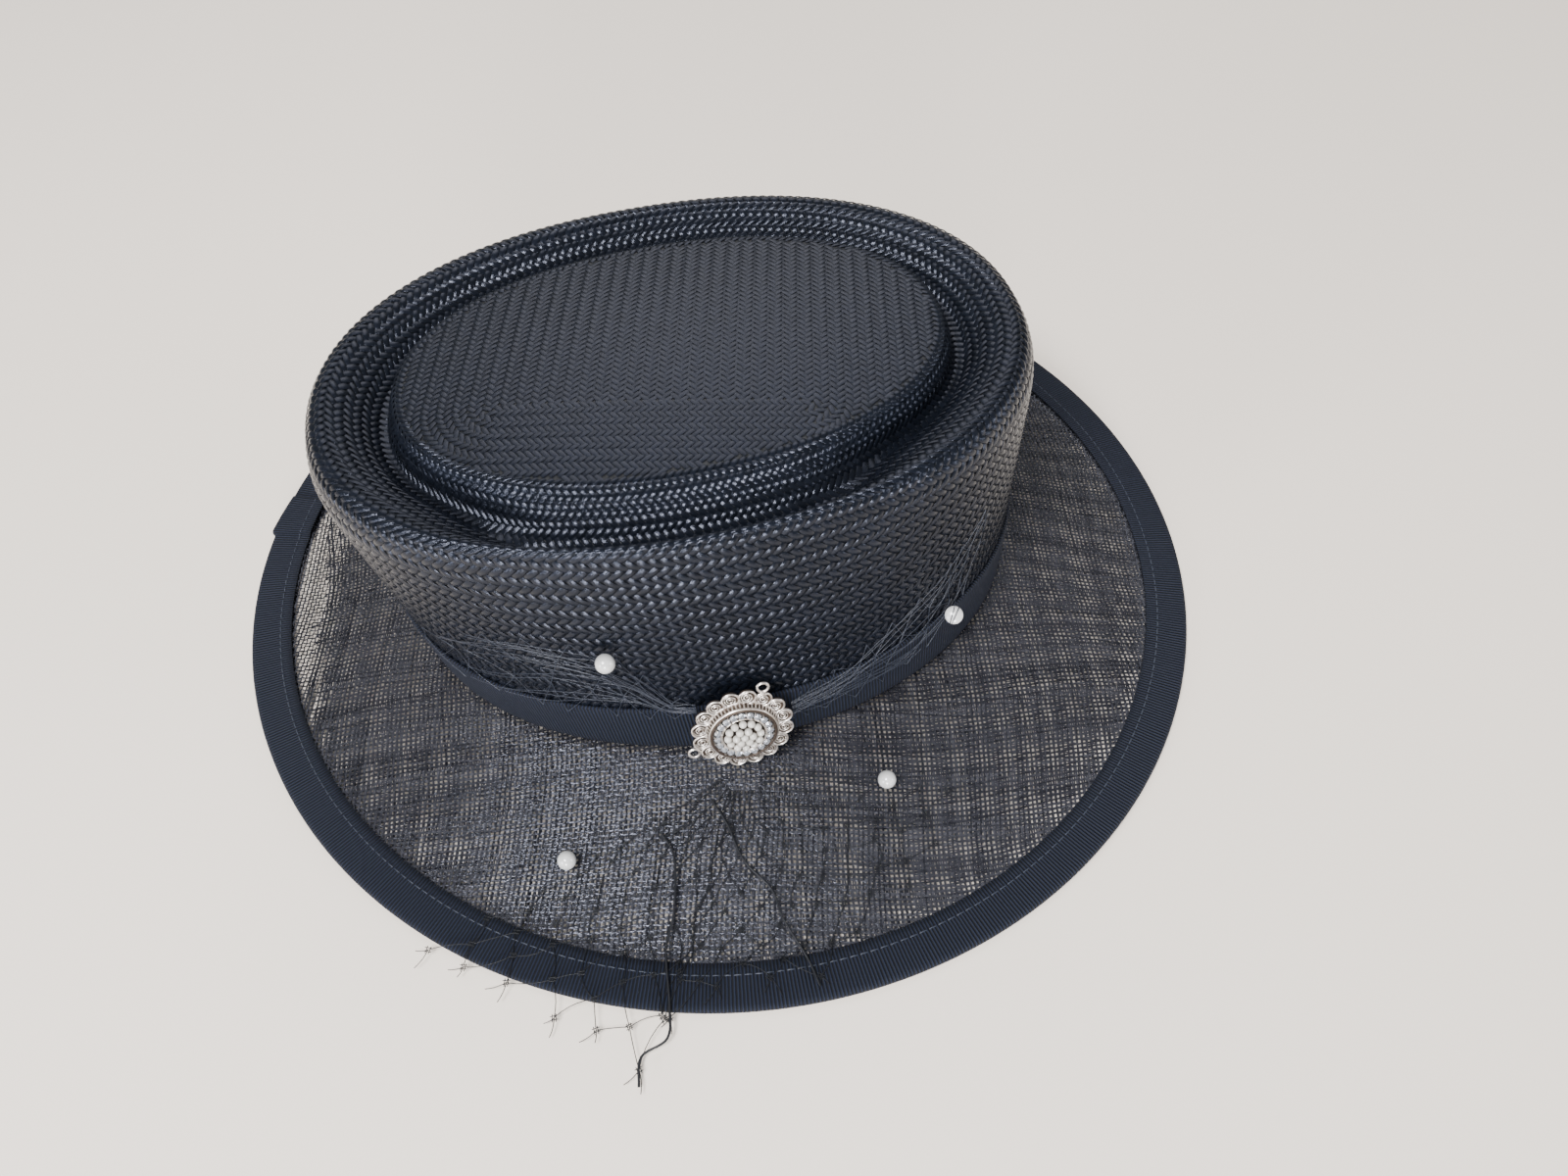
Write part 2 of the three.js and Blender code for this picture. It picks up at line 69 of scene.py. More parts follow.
camera_data = bpy.data.cameras.new("camera")
camera_data.sensor_width = SENSOR_WIDTH
camera_data.lens = SENSOR_WIDTH * CAMERA_FOCAL_PIXELS / PHOTO_WIDTH_PIXELS
camera_data.clip_start = 0.01
camera = bpy.data.objects.new("camera", camera_data)
bpy.context.scene.collection.objects.link(camera)
camera_axes = Matrix((camera_right, -camera_down, -forward)).transposed()
camera.matrix_world = Matrix.Translation(camera_place) @ camera_axes.to_4x4()
bpy.context.scene.camera = camera


# Floor: a plain pale matt surface, warm as the light wood boards are.
def srgb(code):
    """A hex colour such as #c9c1b8, as linear red, green, blue and alpha."""
    parts = [int(code[i:i + 2], 16) / 255 for i in (1, 3, 5)]
    linear = [c / 12.92 if c <= 0.04045 else ((c + 0.055) / 1.055) ** 2.4 for c in parts]
    return (*linear, 1)


def add_node(tree, kind, settings=None, links=None):
    """Adds a node, sets its properties or sockets by name, and links sockets in."""
    node = tree.nodes.new(kind)
    for name, value in (settings or {}).items():
        if isinstance(name, str) and hasattr(node, name):
            setattr(node, name, value)
        else:
            node.inputs[name].default_value = value
    for name, source in (links or {}).items():
        tree.links.new(source, node.inputs[name])
    return node


def new_material(name):
    """A named material with an empty tree."""
    material = bpy.data.materials.new(name)
    material.use_nodes = True
    material.node_tree.nodes.clear()
    return material, material.node_tree


def add_surface(tree, settings, links=None):
    """Adds the surface shader with its settings and links, and the tree's output."""
    surface = add_node(tree, "ShaderNodeBsdfPrincipled", settings, links)
    output = add_node(tree, "ShaderNodeOutputMaterial")
    tree.links.new(surface.outputs[0], output.inputs["Surface"])


def add_noise(tree, source, settings):
    """Adds a noise over a vector socket and gives its socket."""
    return add_node(tree, "ShaderNodeTexNoise", settings, {"Vector": source}).outputs["Fac"]


def add_bump(tree, height, strength, distance, over=None):
    """Adds a bump from a height socket, over another bump if there is one."""
    links = {"Height": height, "Normal": over} if over else {"Height": height}
    settings = {"Strength": strength, "Distance": distance}
    return add_node(tree, "ShaderNodeBump", settings, links).outputs[0]


def add_ramp(tree, source, *stops):
    """Adds a colour ramp over a socket, with two stops of position and hex colour."""
    ramp = add_node(tree, "ShaderNodeValToRGB", links={"Fac": source})
    for element, (position, code) in zip(ramp.color_ramp.elements, stops):
        element.position = position
        element.color = srgb(code)
    return ramp.outputs[0]


FLOOR_REACH = 3
FLOOR_DROP = 0.0002
floor_material, tree = new_material("pale_matt_floor")
add_surface(tree, {"Base Color": srgb("#ece1d1"), "Roughness": 0.6})
bpy.ops.mesh.primitive_plane_add(size=2 * FLOOR_REACH, location=(0, 0, -FLOOR_DROP))
floor = bpy.context.object
floor.name = "floor"
floor.data.materials.append(floor_material)

# Light: a soft window light from above and to the left, three low ones in front
# and at the sides, a wide one behind, and pale walls all round.
world = bpy.data.worlds.new("soft_room")
world.use_nodes = True
bpy.context.scene.world = world
WALL_LIGHT = 0.4
walls = world.node_tree.nodes["Background"]
walls.inputs["Color"].default_value = srgb("#e9ecf0")
walls.inputs["Strength"].default_value = WALL_LIGHT

SOFT_LIGHTS = (
    # name, place from the brim's centre in metres, size, watts, colour
    ("window", (-0.6, -0.75, 1.55), 0.6, 62, "#fbfbff"),
    ("low_window", (-0.35, -1.75, 0.36), 0.5, 44, "#f8f9ff"),
    ("left_low_window", (-1.5, -0.9, 0.45), 0.5, 17, "#eef2ff"),
    ("right_low_window", (1.5, -0.7, 0.5), 0.5, 10, "#eef2ff"),
    ("back_window", (0.15, 1.15, 1.5), 1.6, 19, "#f9f6fa"),
)
LIGHT_AIM = Vector((0, 0, 0.05))
for name, place, size, watts, colour in SOFT_LIGHTS:
    light_data = bpy.data.lights.new(name, "AREA")
    light_data.shape = "DISK"
    light_data.size = size
    light_data.energy = watts
    light_data.color = srgb(colour)[:3]
    light = bpy.data.objects.new(name, light_data)
    bpy.context.scene.collection.objects.link(light)
    light.location = BRIM_CENTRE + Vector(place)
    aim = BRIM_CENTRE + LIGHT_AIM - light.location
    light.rotation_euler = aim.to_track_quat("-Z", "Y").to_euler()


# Crown: dark glossy straw, woven as a herringbone of flat split strands in rows
# round the wall, lip and gutter. It is blocked wet over a form and stiffened.
FOOT_TOP = 13.5
FOOT_CENTRE = np.array((-0.8, -5.9))
FOOT_HALF = np.array((106.9, 82.8))
LIP_CENTRE = np.array((-6.3, -5.3))
LIP_HALF = np.array((114, 82.5))
LIP_TURN = math.radians(2.5)
LIP_HEIGHT = 98
FOOT_SQUARENESS = 2
LIP_SQUARENESS = 2.15
TIP_TOP = 112.9
CROWN_ROWS = (
    # distance in from the widest outline and height, then both on the near side
    (0, 13.8, 0, 13.8), (0, 36, 0, 36), (0, 60, 0.4, 60), (0, 82, 1.6, 82), (0, 96, 3.4, 96),
    (0.7, 102.5, 4.7, 103.6), (2.6, 107, 6, 107.7), (5.6, 109, 7.2, 108.6), (9, 108.4, 8.5, 107),
    (13, 106.2, 9.6, 103), (17.5, 103, 11, 99.8), (21.3, 99.8, 13, 98.8), (23.6, 98.8, 16.5, 101),
    (25.2, 100.8, 20.5, 104.6), (26.4, 105.2, 24.5, 107.8), (28.6, 109.4, 28.6, 109.6),
    (32, 110.2, 32, 110.2),
)
NEAR_START, NEAR_FULL, NEAR_LEAVE, NEAR_END = 205, 240, 290, 325
STRANDS_ROUND = 190
ROW_STEP = 0.7
OUTLINE_STEPS = 1441
CENTRE_MM = np.array((BRIM_CENTRE.x, BRIM_CENTRE.y, 0)) / MM


def wall_points(angle, height, offset):
    """Points of the crown's wall by polar angle, height and distance out, in mm."""
    angle, height, offset = np.broadcast_arrays(angle, height, offset)
    share = np.clip((height - FOOT_TOP) / (LIP_HEIGHT - FOOT_TOP), 0, 1)
    half_x = FOOT_HALF[0] + (LIP_HALF[0] - FOOT_HALF[0]) * share + offset
    half_y = FOOT_HALF[1] + (LIP_HALF[1] - FOOT_HALF[1]) * share + offset
    squareness = FOOT_SQUARENESS + (LIP_SQUARENESS - FOOT_SQUARENESS) * share
    turned = angle - LIP_TURN * share
    across = np.abs(np.cos(turned) / half_x) ** squareness
    along = np.abs(np.sin(turned) / half_y) ** squareness
    radius = (across + along) ** (-1 / squareness)
    x = FOOT_CENTRE[0] + (LIP_CENTRE[0] - FOOT_CENTRE[0]) * share + radius * np.cos(angle)
    y = FOOT_CENTRE[1] + (LIP_CENTRE[1] - FOOT_CENTRE[1]) * share + radius * np.sin(angle)
    return np.stack([x, y, height], -1)


def smooth_rows(rows, step):
    """Points every step or so along a smooth line through rows, by Catmull-Rom."""
    rows = np.array(rows, float)
    padded = np.vstack([2 * rows[0] - rows[1], rows, 2 * rows[-1] - rows[-2]])
    line = []
    for before, start, end, after in zip(padded, padded[1:], padded[2:], padded[3:]):
        count = max(2, int(np.linalg.norm(end - start) / step))
        t = np.arange(count)[:, None] / count
        line.append(0.5 * (2 * start + (end - before) * t
                           + (2 * before - 5 * start + 4 * end - after) * t ** 2
                           + (3 * start - before - 3 * end + after) * t ** 3))
    return np.vstack([*line, rows[-1:]])


def eased(value, low_end, high_end):
    """A smooth step from 0 to 1 between two ends."""
    share = np.clip((value - low_end) / (high_end - low_end), 0, 1)
    return share * share * (3 - 2 * share)


def crown_grid(columns):
    """The crown's outside from foot to tip edge: rows of points even along each row."""
    angles = np.linspace(0, 2 * np.pi, OUTLINE_STEPS)
    degrees = np.degrees(angles)
    near = eased(degrees, NEAR_START, NEAR_FULL) - eased(degrees, NEAR_LEAVE, NEAR_END)
    grid = []
    for inset, height, near_inset, near_height in smooth_rows(CROWN_ROWS, ROW_STEP):
        drawn_in = inset + (near_inset - inset) * near
        loop = wall_points(angles, height + (near_height - height) * near, -drawn_in)
        loop[:, 2] = height + (near_height - height) * near
        run = np.concatenate([[0], np.cumsum(np.linalg.norm(np.diff(loop, axis=0), axis=1))])
        even = np.linspace(0, run[-1], columns + 1)
        grid.append(np.stack([np.interp(even, run, loop[:, k]) for k in range(3)], -1))
    grid = np.array(grid)
    climb = np.cumsum(np.linalg.norm(np.diff(grid, axis=0, prepend=grid[:1]), axis=2), axis=0)
    shares = np.mean(climb / climb[-1], axis=1)
    for column in range(columns + 1):
        share = climb[:, column] / climb[-1, column]
        grid[:, column] = np.stack([np.interp(shares, share, grid[:, column, k]) for k in range(3)], -1)
    return grid


GRID_COLUMNS = 720
grid = crown_grid(GRID_COLUMNS)
row_lengths = np.linalg.norm(np.diff(grid, axis=1), axis=2).sum(1)
steps = np.linalg.norm(np.diff(grid, axis=0), axis=2).mean(1)
travel = np.concatenate([[0], np.cumsum(steps)])
slope_along = np.gradient(grid, axis=1)
slope_up = np.gradient(grid, axis=0)
slope_along[:, 0] = slope_along[:, -1] = (grid[:, 1] - grid[:, -2]) / 2
grid_normals = np.cross(slope_along, slope_up)
grid_normals /= np.linalg.norm(grid_normals, axis=2, keepdims=True)


def on_crown(up, share, rise):
    """Points of the crown at a distance up its section and a share round, raised by rise."""
    row = np.interp(up, travel, np.arange(len(travel)))
    column = (share % 1) * GRID_COLUMNS
    r0 = np.clip(row.astype(int), 0, len(travel) - 2)
    c0 = np.clip(column.astype(int), 0, GRID_COLUMNS - 1)
    fr = (row - r0)[..., None]
    fc = (column - c0)[..., None]

    def blend(values):
        low_row = values[r0, c0] * (1 - fc) + values[r0, c0 + 1] * fc
        high_row = values[r0 + 1, c0] * (1 - fc) + values[r0 + 1, c0 + 1] * fc
        return low_row * (1 - fr) + high_row * fr

    return blend(grid) + blend(grid_normals) * np.asarray(rise)[..., None]


def mesh_piece(name, points, faces, material, uv=None, shade=None, smooth=True):
    """An object from points in mm about the brim's centre, its place in its mesh."""
    points = (np.asarray(points, float).reshape(-1, 3) + CENTRE_MM) * MM
    faces = np.asarray(faces, int)
    mesh = bpy.data.meshes.new(name)
    mesh.vertices.add(len(points))
    mesh.vertices.foreach_set("co", points.ravel())
    sides = faces.shape[1]
    mesh.loops.add(faces.size)
    mesh.loops.foreach_set("vertex_index", faces.ravel())
    mesh.polygons.add(len(faces))
    mesh.polygons.foreach_set("loop_start", np.arange(len(faces)) * sides)
    mesh.update(calc_edges=True)
    mesh.polygons.foreach_set("use_smooth", [smooth] * len(faces))
    if uv is not None:
        layer = mesh.uv_layers.new(name="strand")
        layer.data.foreach_set("uv", np.asarray(uv, float).reshape(-1, 2)[faces.ravel()].ravel())
    if shade is not None:
        attribute = mesh.attributes.new("shade", "FLOAT", "POINT")
        attribute.data.foreach_set("value", np.asarray(shade, np.float32).ravel())
    mesh.materials.append(material)
    piece = bpy.data.objects.new(name, mesh)
    bpy.context.scene.collection.objects.link(piece)
    return piece


def sheet_faces(rows, columns, closed):
    """Quads between rows of points, closed round the columns if asked."""
    r, c = np.meshgrid(np.arange(rows - 1), np.arange(columns if closed else columns - 1), indexing="ij")
    n = (c + 1) % columns
    quads = [r * columns + c, r * columns + n, (r + 1) * columns + n, (r + 1) * columns + c]
    return np.stack(quads, -1).reshape(-1, 4)


# Dyed split straw: near-black blue with a waxy gloss. Each strand shows fine
# fibres along its length, and no two strands are quite the same tone.
straw_material, tree = new_material("dyed_split_straw")
uv_node = add_node(tree, "ShaderNodeUVMap", {"uv_map": "strand"})
fibre_scale = add_node(tree, "ShaderNodeMapping", {"Scale": (0.35, 9, 1)}, {"Vector": uv_node.outputs[0]})
fibres = add_noise(tree, fibre_scale.outputs[0], {"Scale": 1.0, "Detail": 3.0, "Roughness": 0.6})
tone = add_node(tree, "ShaderNodeAttribute", {"attribute_name": "shade"})
tone_sum = add_node(tree, "ShaderNodeMath", {"operation": "MULTIPLY_ADD", 1: 0.55},
                    {0: fibres, 2: tone.outputs["Fac"]})
straw_colour = add_ramp(tree, tone_sum.outputs[0], (0.2, "#07090d"), (0.95, "#12151c"))
straw_gloss = add_node(tree, "ShaderNodeMapRange", {"To Min": 0.1, "To Max": 0.22}, {"Value": fibres})
straw_bump = add_bump(tree, fibres, 0.5, 0.12 * MM)
add_surface(tree, {
    "IOR": 1.5, "Specular IOR Level": 0.34, "Specular Tint": srgb("#d0d6ea"),
}, {
    "Base Color": straw_colour,
    "Roughness": straw_gloss.outputs[0],
    "Normal": straw_bump,
})

# The same straw behind the raised strands, where no light reaches: its colour is painted shade, darker than
# the straw's own.
shell_material, tree = new_material("straw_behind_weave_painted_shade")
uv_node = add_node(tree, "ShaderNodeUVMap", {"uv_map": "strand"})
weave_turn = add_node(tree, "ShaderNodeMapping",
                      {"Rotation": (0, 0, math.radians(45)), "Scale": (0.44, 0.44, 1)},
                      {"Vector": uv_node.outputs[0]})
weave_checks = add_node(tree, "ShaderNodeTexBrick", {
    "Color1": (0.8, 0.8, 0.8, 1), "Color2": (0.55, 0.55, 0.55, 1), "Mortar": (0, 0, 0, 1),
    "Scale": 1.0, "Mortar Size": 0.06, "Mortar Smooth": 0.6, "Brick Width": 2.0, "Row Height": 1.0,
}, {"Vector": weave_turn.outputs[0]})
weave_bump = add_bump(tree, weave_checks.outputs["Color"], 0.8, 0.3 * MM)
# Painted shade: near-black tones, darker than the straw itself, for the shade behind the strands.
shell_painted_shade = add_node(tree, "ShaderNodeMix", {
    "data_type": "RGBA", 6: srgb("#030405"), 7: srgb("#0d0f13"),
}, {0: weave_checks.outputs["Color"]})
add_surface(tree, {"Roughness": 0.55}, {"Base Color": shell_painted_shade.outputs[2], "Normal": weave_bump})

# The shell: the woven sheet's body, with the strands' crowns added over it.
SHELL_COLUMNS = 144
SHELL_THICK = 1.4
SHELL_DROP = 0.25
SHELL_ROW_STEP = 3
SHELL_GIRTH = 600
TIP_SHARES = (0.93, 0.82, 0.66, 0.48, 0.3, 0.14, 0.02)
TIP_TRAVEL = np.array((3.5, 9, 17, 26, 35, 43, 49))
column_step = GRID_COLUMNS // SHELL_COLUMNS
shell_rows = grid[::SHELL_ROW_STEP, ::column_step][:, :SHELL_COLUMNS]
shell_normals = grid_normals[::SHELL_ROW_STEP, ::column_step][:, :SHELL_COLUMNS]
shell_travel = travel[::SHELL_ROW_STEP]


def tip_rows(edge, inner_shares, drop):
    """Rows from the tip's edge in to its middle, slightly domed, for one skin."""
    middle = np.array((*LIP_CENTRE, TIP_TOP - drop))
    rows = []
    for share in inner_shares:
        row = middle + (edge - middle) * share
        row[:, 2] = edge[:, 2] + (TIP_TOP - drop - edge[:, 2]) * (1 - share ** 2)
        rows.append(row)
    return rows


outer_skin = shell_rows - SHELL_DROP * shell_normals
inner_skin = shell_rows - (SHELL_DROP + SHELL_THICK) * shell_normals
outer_skin = np.array([*outer_skin, *tip_rows(outer_skin[-1], TIP_SHARES, SHELL_DROP)])
inner_skin = np.array([*inner_skin, *tip_rows(inner_skin[-1], TIP_SHARES, SHELL_DROP + SHELL_THICK)])
shell_loops = np.concatenate([inner_skin[::-1], outer_skin])
shell_up = np.concatenate([shell_travel, shell_travel[-1] + TIP_TRAVEL])
shell_up = np.concatenate([shell_up[::-1], shell_up])
shell_round = np.arange(SHELL_COLUMNS) / SHELL_COLUMNS * SHELL_GIRTH
shell_uv = np.stack(np.meshgrid(shell_up, shell_round, indexing="ij")[::-1], -1)
shell_faces = sheet_faces(len(shell_loops), SHELL_COLUMNS, True)
crown_shell = mesh_piece("crown_shell", shell_loops, shell_faces, shell_material, uv=shell_uv)
bpy.context.view_layer.objects.active = crown_shell
bpy.ops.object.mode_set(mode="EDIT")
bpy.ops.mesh.select_all(action="DESELECT")
bpy.ops.mesh.select_mode(type="EDGE")
bpy.ops.mesh.select_non_manifold()
bpy.ops.mesh.fill_holes(sides=0)
bpy.ops.mesh.select_all(action="DESELECT")
bpy.ops.object.mode_set(mode="OBJECT")
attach(crown_shell, "root")
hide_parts("crown")

# The strands: flat lozenges two strand widths long, set in rows that lean one
# way and then the other. Each arches up in its middle and dives under at its ends.
STRAND_RISE = 0.46
STRAND_CROWN = 0.3
STRAND_ROWS = 5
STRAND_PROFILE = ((-1, 1), (-0.62, 0.33), (0, 0), (0.62, 0.33), (1, 1))
STRAND_FIT = 0.49
STRAND_OVERLAP = 2.12
STRAND_TAPER = 0.12
FULL_PITCH = 3.2
STRAW_TONES = (0.1, 0.5)
random = np.random.default_rng(7)


def strand_tiles(place, pitch, lean, tones, fit=STRAND_FIT):
    """Rounded lozenges. place turns (along, across) offsets into points with a rise."""
    count = len(pitch)
    u, k = np.meshgrid(np.linspace(-1, 1, STRAND_ROWS), np.arange(len(STRAND_PROFILE)), indexing="ij")
    v, fall = np.array(STRAND_PROFILE)[k.ravel()].T
    u = u.ravel()
    width = pitch / math.sqrt(2)
    run = u * STRAND_OVERLAP * width[:, None] / 2
    side = v * (1 - STRAND_TAPER * u ** 4) * width[:, None] * fit
    ds = (run - side * lean[:, None]) / math.sqrt(2)
    dt = (run * lean[:, None] + side) / math.sqrt(2)
    rise = (STRAND_RISE * (1 - u ** 2) - STRAND_CROWN * fall) * (pitch / FULL_PITCH)[:, None]
    points = place(ds, dt, rise)
    faces = sheet_faces(STRAND_ROWS, len(STRAND_PROFILE), False)[:, ::-1]
    faces = faces[None] + len(u) * np.arange(count)[:, None, None]
    shift = random.uniform(0, 500, (count, 1))
    uv = np.stack([run + shift, side + shift * 3.7], -1)
    shade = np.repeat(tones, len(u))
    return points.reshape(-1, 3), faces.reshape(-1, 4), uv.reshape(-1, 2), shade


FIRST_ROW_UP = 1.2
LIP_WEAVE_START = 88


def wall_tile_rows():
    """Height up the section, place round, pitch and lean of each strand, row by row."""
    ups, shares, pitches, leans = [], [], [], []
    up, row = FIRST_ROW_UP, 0
    while up < travel[-1] - 0.5:
        pitch = np.interp(up, travel, row_lengths) / STRANDS_ROUND
        share = (np.arange(STRANDS_ROUND) + 0.5 * (row % 2)) / STRANDS_ROUND
        ups.append(np.full(STRANDS_ROUND, up))
        shares.append(share)
        pitches.append(np.full(STRANDS_ROUND, pitch))
        leans.append(np.full(STRANDS_ROUND, 1 if row % 2 else -1))
        up += pitch
        row += 1
    return map(np.concatenate, (ups, shares, pitches, leans))


def woven_wall(name, chosen):
    """Some of the crown's woven strands as one piece."""
    ups, shares, pitches, leans = (values[chosen] for values in crown_strands)
    lengths = np.interp(ups, travel, row_lengths)

    def place(ds, dt, rise):
        share = shares[:, None] + ds / lengths[:, None]
        return on_crown(np.clip(ups[:, None] + dt, 0, travel[-1]), share, rise)

    tones = random.uniform(*STRAW_TONES, len(ups))
    points, faces, uv, shade = strand_tiles(place, pitches, leans, tones)
    piece = mesh_piece(name, points, faces, straw_material, uv=uv, shade=shade)
    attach(piece, "root")
    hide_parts("crown")


crown_strands = [*wall_tile_rows()]
lower_half = len(grid) // 2
lip_start = np.interp(LIP_WEAVE_START, grid[:lower_half, 0, 2], travel[:lower_half])
woven_wall("wall_weave", crown_strands[0] < lip_start)
woven_wall("lip_weave", crown_strands[0] >= lip_start)

# The tip's weave: rows run straight from front to back over most of the oval, and
# turn in two round bends into rows along its near side.
TIP_FLATNESS = 0.42
TIP_FIT = 0.455
BEND_LEFT = np.array((-60.5, -19.5))
BEND_RIGHT = np.array((29, -38))
TIP_COLUMNS = 39
TIP_LIMIT = 1.012
BEND_ROWS = 60
BEND_STEPS = 24
BACK_REACH_PITCHES = 47
tip_edge = grid[-1, :GRID_COLUMNS]
tip_angles = np.arctan2(tip_edge[:, 1] - LIP_CENTRE[1], tip_edge[:, 0] - LIP_CENTRE[0])
tip_order = np.argsort(tip_angles)
tip_reach = np.linalg.norm(tip_edge[:, :2] - LIP_CENTRE, axis=1)


def tip_height(x, y):
    """Height of the tip's gentle dome, and the share of the way out to its edge."""
    angle = np.arctan2(y - LIP_CENTRE[1], x - LIP_CENTRE[0])
    edge = np.interp(angle, tip_angles[tip_order], tip_reach[tip_order], period=2 * np.pi)
    share = np.hypot(x - LIP_CENTRE[0], y - LIP_CENTRE[1]) / edge
    return CROWN_ROWS[-1][1] + (TIP_TOP - CROWN_ROWS[-1][1]) * (1 - share ** 2), share


base_line = (BEND_RIGHT - BEND_LEFT) / np.linalg.norm(BEND_RIGHT - BEND_LEFT)
back_line = np.array((-base_line[1], base_line[0]))
base_length = np.linalg.norm(BEND_RIGHT - BEND_LEFT)
TIP_PITCH = base_length / TIP_COLUMNS
tile_centres, tile_leans, tile_turns = [], [], []


def lay_row(stretches, row):
    """Sets strands every pitch along a row. Each stretch holds a whole number of them."""
    line, run, total = [], [], 0
    for stretch in stretches:
        stretch = np.array(stretch)
        length = np.concatenate([[0], np.cumsum(np.linalg.norm(np.diff(stretch, axis=0), axis=1))])
        whole = max(1, round(length[-1] / TIP_PITCH)) * TIP_PITCH
        line.append(stretch)
        run.append(total + length / length[-1] * whole)
        total += whole
    points, run = np.vstack(line), np.concatenate(run)
    for mark in np.arange(0.5 * (row % 2), total / TIP_PITCH) * TIP_PITCH:
        spot = np.array([np.interp(mark, run, points[:, k]) for k in (0, 1)])
        nearby = np.array([np.interp(mark + 0.4, run, points[:, k]) for k in (0, 1)])
        heading = nearby - spot
        if tip_height(*spot)[1] < TIP_LIMIT and np.linalg.norm(heading) > 0:
            tile_centres.append(spot)
            tile_turns.append(math.atan2(heading[1], heading[0]))
            tile_leans.append(1 if row % 2 else -1)


back_reaches = np.linspace(0, BACK_REACH_PITCHES * TIP_PITCH, 60)
bend = np.linspace(0, np.pi / 2, BEND_STEPS)
for row in range(BEND_ROWS):
    out = (row + 0.5) * TIP_PITCH
    left = [BEND_LEFT - out * base_line + back_line * reach for reach in back_reaches[::-1]]
    left_bend = [BEND_LEFT - out * (np.cos(a) * base_line + np.sin(a) * back_line) for a in bend]
    right_bend = [BEND_RIGHT + out * (np.sin(a) * base_line - np.cos(a) * back_line) for a in bend]
    right_side = [BEND_RIGHT + out * base_line + back_line * reach for reach in back_reaches]
    lay_row([left, left_bend, [left_bend[-1], right_bend[0]], right_bend, right_side], row)
for row in range(TIP_COLUMNS):
    start = BEND_LEFT + (row + 0.5) * TIP_PITCH * base_line
    lay_row([[start + back_line * reach for reach in back_reaches]], row + 1)

tile_centres = np.array(tile_centres)
tile_turns = np.array(tile_turns)
tile_leans = np.array(tile_leans)


def place_on_tip(ds, dt, rise):
    """Tip strands: offsets turned along each row, on the dome."""
    cosine, sine = np.cos(tile_turns)[:, None], np.sin(tile_turns)[:, None]
    x = tile_centres[:, :1] + ds * cosine - dt * sine
    y = tile_centres[:, 1:] + ds * sine + dt * cosine
    height = tip_height(x, y)[0]
    return np.stack([x, y, height + rise * TIP_FLATNESS], -1)


points, faces, uv, shade = strand_tiles(
    place_on_tip, np.full(len(tile_centres), TIP_PITCH), tile_leans,
    random.uniform(*STRAW_TONES, len(tile_centres)), TIP_FIT)
tip_weave = mesh_piece("tip_weave", points, faces, straw_material, uv=uv, shade=shade)
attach(tip_weave, "root")
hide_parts("crown")


# Brim: two layers of open plain-woven straw cloth, turned a little against each
# other, stiffened and pressed into one shallow bell.
EDGE_HALF = np.array((177.4, 172.2))
EDGE_TURN = math.radians(128.2)
EDGE_TOP = 2.1
BRIM_RISE = 11.4
BRIM_FLAT = 16.5
BRIM_LEDGE = 5
THREAD_SPACING = 1.62
THREAD_WIDTH = 0.58
LOWER_WIDTH = 0.76
WEAVE_LIFT = 0.34
CROWN_WALL = 2


def edge_points(angle, inward):
    """Points of the brim's outline, in plan, drawn in by a distance."""
    half = EDGE_HALF[:, None] - np.ravel(inward)
    turned = np.ravel(angle) - EDGE_TURN
    radius = ((np.cos(turned) / half[0]) ** 2 + (np.sin(turned) / half[1]) ** 2) ** -0.5
    return np.stack([radius * np.cos(angle), radius * np.sin(angle)], -1)


inner_loop = wall_points(np.linspace(0, 2 * np.pi, 721), FOOT_TOP, -CROWN_WALL)[:, :2]
inner_angles = np.arctan2(inner_loop[:, 1], inner_loop[:, 0])
inner_radii = np.linalg.norm(inner_loop, axis=1)
inner_order = np.argsort(inner_angles)


def brim_place(x, y):
    """Distance in from the brim's edge, the brim's width there, and its height."""
    angle = np.arctan2(y, x)
    edge = np.linalg.norm(edge_points(angle.ravel(), 0), axis=1).reshape(angle.shape)
    foot = np.interp(angle, inner_angles[inner_order], inner_radii[inner_order], period=2 * np.pi)
    inward = edge - np.hypot(x, y)
    span = edge - foot
    climb = np.clip((inward - BRIM_FLAT) / (span - BRIM_FLAT - BRIM_LEDGE), 0, 1)
    return inward, span, EDGE_TOP + BRIM_RISE * climb ** 1.15


# Straw cloth: flat glossy fibres, black above and black to dark grey below, each a
# little different from the next; the greys below are painted light, for light shining
# through those fibres. Light comes through the gaps between them.
cloth_material, tree = new_material("open_straw_cloth")
tone = add_node(tree, "ShaderNodeAttribute", {"attribute_name": "shade"})
uv_node = add_node(tree, "ShaderNodeUVMap", {"uv_map": "strand"})
slub_scale = add_node(tree, "ShaderNodeMapping", {"Scale": (0.7, 1.5, 1)}, {"Vector": uv_node.outputs[0]})
slubs = add_noise(tree, slub_scale.outputs[0], {"Scale": 1.0, "Detail": 2.0})
tone_sum = add_node(tree, "ShaderNodeMath", {"operation": "MULTIPLY_ADD", 1: 0.5},
                    {0: slubs, 2: tone.outputs["Fac"]})
cloth_colour = add_ramp(tree, tone_sum.outputs[0], (0.2, "#050509"), (0.95, "#454549"))
cloth_bump = add_bump(tree, slubs, 0.5, 0.4 * MM)
add_surface(tree, {
    "Roughness": 0.22, "Specular IOR Level": 0.65, "Specular Tint": srgb("#d3d9ec"),
}, {"Base Color": cloth_colour, "Normal": cloth_bump})


BRIM_REACH = 182
UNDER_BINDING = 9
UNDER_CROWN = 0.5
NO_LEFT_END = -200


